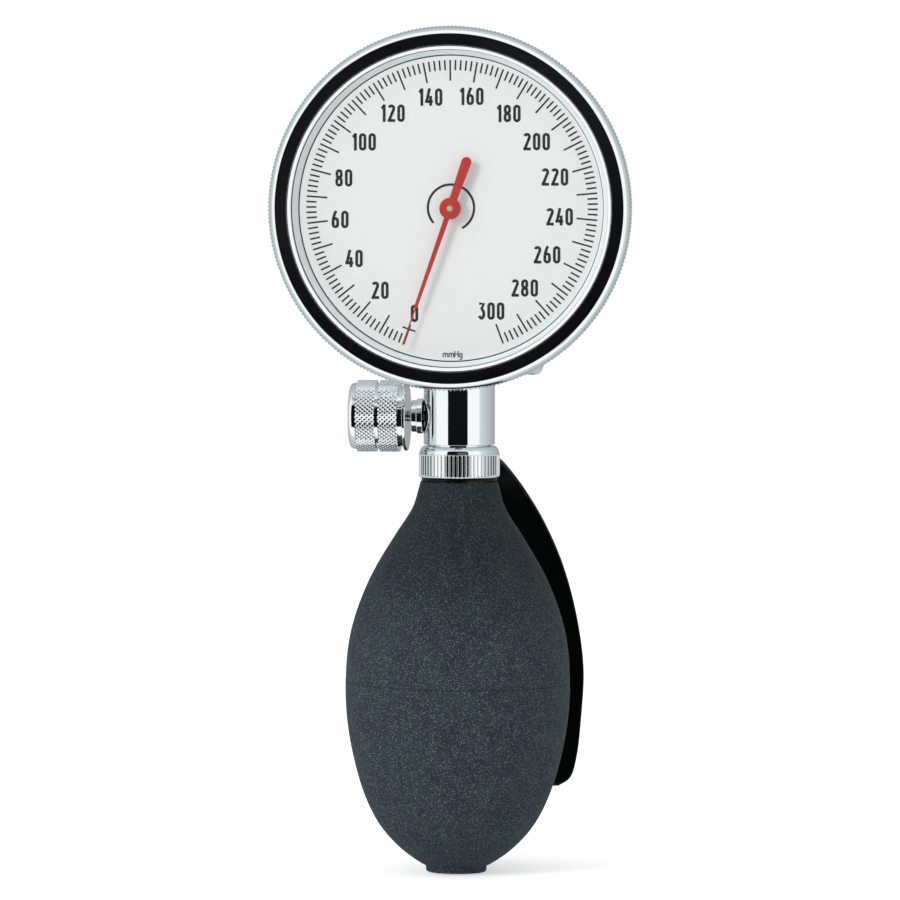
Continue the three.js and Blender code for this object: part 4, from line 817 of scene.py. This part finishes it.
raised = node(tree, "ShaderNodeBump", {"Height": grain.outputs["Fac"], "Distance": 0.05 * mm,
                                       "Strength": 0.7})
tree.links.new(raised.outputs[0], rubber_inputs["Normal"])

bulb_radius, upper_length, lower_length = 22.6, 41.15, 36.4
neck_radius, nub_radius, nub_length, lean = 7.74, 6.1, 1.2, math.radians(0.45)
# The outline's stops, from the neck to the widest section and on to the nub: each is a share of the
# height from that section and a share of the growth in radius.
upper_stops = [(1, 0), (0.878, 0.098), (0.82, 0.187), (0.739, 0.334), (0.512, 0.693), (0.259, 0.934),
               (0, 1)]
lower_stops = [(0.257, 0.958), (0.531, 0.818), (0.688, 0.682), (0.799, 0.533), (0.909, 0.303),
               (0.987, 0.06), (1, 0)]


def smooth_line(stops, steps):
    """A Catmull-Rom line through the stops, its knots spaced to suit uneven stops."""
    stops = np.array(stops, float)
    padded = np.vstack((2 * stops[0] - stops[1], stops, 2 * stops[-1] - stops[-2]))
    gaps = np.maximum(np.sqrt(np.linalg.norm(np.diff(padded, axis=0), axis=1)), 1e-9)
    line = []
    for i in range(len(stops) - 1):
        p0, p1, p2, p3 = padded[i:i + 4]
        g0, g1, g2 = gaps[i:i + 3]
        m1 = g1 * ((p1 - p0) / g0 - (p2 - p0) / (g0 + g1) + (p2 - p1) / g1)
        m2 = g1 * ((p2 - p1) / g1 - (p3 - p1) / (g1 + g2) + (p3 - p2) / g2)
        for t in np.linspace(0, 1, steps, endpoint=False):
            line.append((2 * t ** 3 - 3 * t ** 2 + 1) * p1 + (t ** 3 - 2 * t ** 2 + t) * m1
                        + (3 * t ** 2 - 2 * t ** 3) * p2 + (t ** 3 - t ** 2) * m2)
    return np.array([*line, stops[-1]])


bulb_stops = [(neck_radius + (bulb_radius - neck_radius) * r, upper_length * h) for h, r in upper_stops]
bulb_stops += [(nub_radius + (bulb_radius - nub_radius) * r, -lower_length * h) for h, r in lower_stops]
line_steps = 14
bulb_side = smooth_line(bulb_stops, line_steps)
parting_depth, parting_lip, parting_width, parting_height, parting_clear = 0.11, 0.02, 0.13, 0.8, 0.3
parting = [(bulb_radius + out, parting_height + up * parting_width)
           for out, up in ((0, 2), (parting_lip, 1), (-parting_depth, 0.15),
                           (-parting_depth, -0.15), (parting_lip, -1), (0, -2))]
bulb_rows = [tuple(stop) for stop in bulb_side if stop[1] > parting_height + parting_clear]
bulb_rows += parting
bulb_rows += [tuple(stop) for stop in bulb_side if stop[1] < parting_height - parting_clear]
bulb_bottom = -lower_length - nub_length
nub_bore, nub_bore_depth, neck_bore, neck_bore_depth = 4.3, 7, 5.3, 9
recess_radius, recess_floor = 6.5, upper_length - 1.2
wall, inside_least, inside_low, inside_high = 2.2, 4.0, 6 - lower_length, upper_length - 9.5
bulb_profile = [
    (neck_bore, upper_length - neck_bore_depth), (neck_bore, recess_floor),
    *eased([(recess_radius, recess_floor), (recess_radius, upper_length, 0.15),
            (neck_radius, upper_length, 0.3), tuple(bulb_side[1])], closed=False)[:-1],
    *bulb_rows[1:-1],
    *eased([tuple(bulb_side[-2]), (nub_radius, -lower_length - 0.1, 0.35),
            (nub_radius, bulb_bottom, 0.45), (nub_bore, bulb_bottom, 0.15),
            (nub_bore, bulb_bottom + nub_bore_depth)], closed=False)[1:],
    *[(max(inside_least, r - wall), h) for r, h in bulb_side[::-1] if inside_low < h < inside_high]]
bulb = turned("bulb_body", bulb_profile, "up", segments=256)
pivot = np.array((0, 0, upper_length * mm))
turn_back = np.array([[math.cos(lean), 0, math.sin(lean)], [0, 1, 0],
                      [-math.sin(lean), 0, math.cos(lean)]])
places = np.zeros(len(bulb.data.vertices) * 3)
bulb.data.vertices.foreach_get("co", places)
places = (places.reshape(-1, 3) - pivot) @ turn_back.T + pivot
bulb.data.vertices.foreach_set("co", places.ravel())
dress(bulb, rubber, "bulb_rubber", "head", "bulb")

# Spoon: the palm rest, pressed from steel sheet and enamelled black. Its eye lies under the ring
# nut, its tang humps over the bulb's shoulder, and its hollow bowl runs down behind the bulb.
black = finish("black_stove_enamel", (0.0015, 0.002, 0.002), Specular_IOR_Level=0.18)
worn(black, (0.26, 0.36), bump=0.0012, line_stretch=1.0, line_scale=350.0)
eye_bottom, eye_thickness, eye_radius, eye_hole = upper_length + 0.14, 0.6, 7.6, 4.7
spoon_thickness, bow_radius, half_width, tang_half = 1.2, 45, 22.3, 4.75
reach, hump, tip, tip_rounding = 34.2, 3.2, 23.4, 0.6
spoon_turn = math.radians(1.4)  # it was left turned a little to the right
eye_middle = eye_bottom + eye_thickness / 2
# The blade's stops, from the eye to the tip: half width, distance behind the stem's axis and height.
spoon_stops = [
    (tang_half, 5, eye_middle), (tang_half * 1.04, 9.5, eye_middle + hump * 0.03),
    (tang_half * 1.15, reach * 0.395, eye_middle + hump * 0.6),
    (tang_half * 1.29, reach * 0.526, eye_middle + hump),
    (half_width * 0.347, reach * 0.673, eye_middle + hump * 0.35),
    (half_width * 0.493, reach * 0.798, eye_middle * 0.91),
    (half_width * 0.651, reach * 0.886, eye_middle * 0.757),
    (half_width * 0.817, reach * 0.953, eye_middle * 0.541),
    (half_width * 0.942, reach * 0.991, eye_middle * 0.276), (half_width, reach, eye_middle * 0.024),
    (half_width * 0.982, reach * 0.977, -tip * 0.39), (half_width * 0.945, reach * 0.933, -tip * 0.748),
    (half_width * 0.885, reach * 0.912, -tip * 0.93), (half_width * 0.77, reach * 0.905, -tip)]
spoon_line = smooth_line(spoon_stops, line_steps)
spoon_along = np.gradient(spoon_line, axis=0)
spoon_across = 28
edge_angles = np.linspace(0, math.pi, 9)[1:-1]
spoon_points = []
for (half, y, z), (_, dy, dz) in zip(spoon_line, spoon_along):
    length = math.hypot(dy, dz)
    out_y, out_z = -dz / length, dy / length
    grown = min(1, max(0, (y - eye_radius - 0.3) / 5))
    grown = grown * grown * (3 - 2 * grown)
    on_tip = max(0, 1 - (z + tip) / tip_rounding) if y > reach * 0.8 else 0
    closing = math.sqrt(max(0.02, 1 - on_tip ** 2))
    thick = (eye_thickness + (spoon_thickness - eye_thickness) * grown) * closing
    rim = thick / 2
    flat = np.linspace(half - rim, rim - half, spoon_across)
    section = [(x, rim) for x in flat]
    section += [(rim - half - rim * math.sin(a), rim * math.cos(a)) for a in edge_angles]
    section += [(-x, -rim) for x in flat]
    section += [(half - rim + rim * math.sin(a), -rim * math.cos(a)) for a in edge_angles]
    for x, offset in section:
        bow = (bow_radius - math.sqrt(bow_radius ** 2 - x * x)) * grown
        shift = offset - bow
        deep = y + out_y * shift
        spoon_points.append(((x * math.cos(spoon_turn) + deep * math.sin(spoon_turn)) * mm,
                             (deep * math.cos(spoon_turn) - x * math.sin(spoon_turn)) * mm,
                             (z + out_z * shift) * mm))
row = 2 * spoon_across + 2 * len(edge_angles)
spoon_faces = []
for i in range(len(spoon_line) - 1):
    for k in range(row):
        a, b = i * row + k, i * row + (k + 1) % row
        spoon_faces.append((a, b, b + row, a + row))
last = (len(spoon_line) - 1) * row
spoon_faces += [tuple(range(row)), tuple(last + k for k in reversed(range(row)))]
spoon = new_mesh("palm_spoon", spoon_points, spoon_faces)
dress(spoon, black, "spoon_black", "spoon", "spoon")
eye = turned("spoon_eye", eased([
    (eye_hole, eye_bottom, 0.08), (eye_radius, eye_bottom, 0.15),
    (eye_radius, eye_bottom + eye_thickness, 0.15), (eye_hole, eye_bottom + eye_thickness, 0.08)]),
    "up", segments=128)
dress(eye, black, "spoon_black", "spoon")

# Hidden works: brass plates, gears and bushes, steel arbors and screws, the bronze capsule and
# hairspring, and black rubber washers keep the shapes that the frame gives them, and get their
# finishes here.
steel = finish("ground_steel", (0.42, 0.44, 0.45), Metallic=1.0)
worn(steel, (0.2, 0.36), bump=0.0015, line_scale=1700.0)
bronze = finish("spring_bronze", (0.53, 0.29, 0.1), Metallic=1.0)
worn(bronze, (0.18, 0.34), bump=0.001, line_stretch=1.0)
slot_finish = {"brass": brass, "steel": steel, "spring_bronze": bronze, "seal_rubber": seal,
               "chrome": chrome, "black_enamel": enamel, "crystal": glass, "pale_ring": pale,
               "dial_white": white_enamel, "pointer_red": red, "bulb_rubber": rubber,
               "spoon_black": black}
for part in frame["record"]["subparts"]:
    slot = part["material_slot"]
    coat(frame["nodes"][part["node"]], slot_finish[slot])
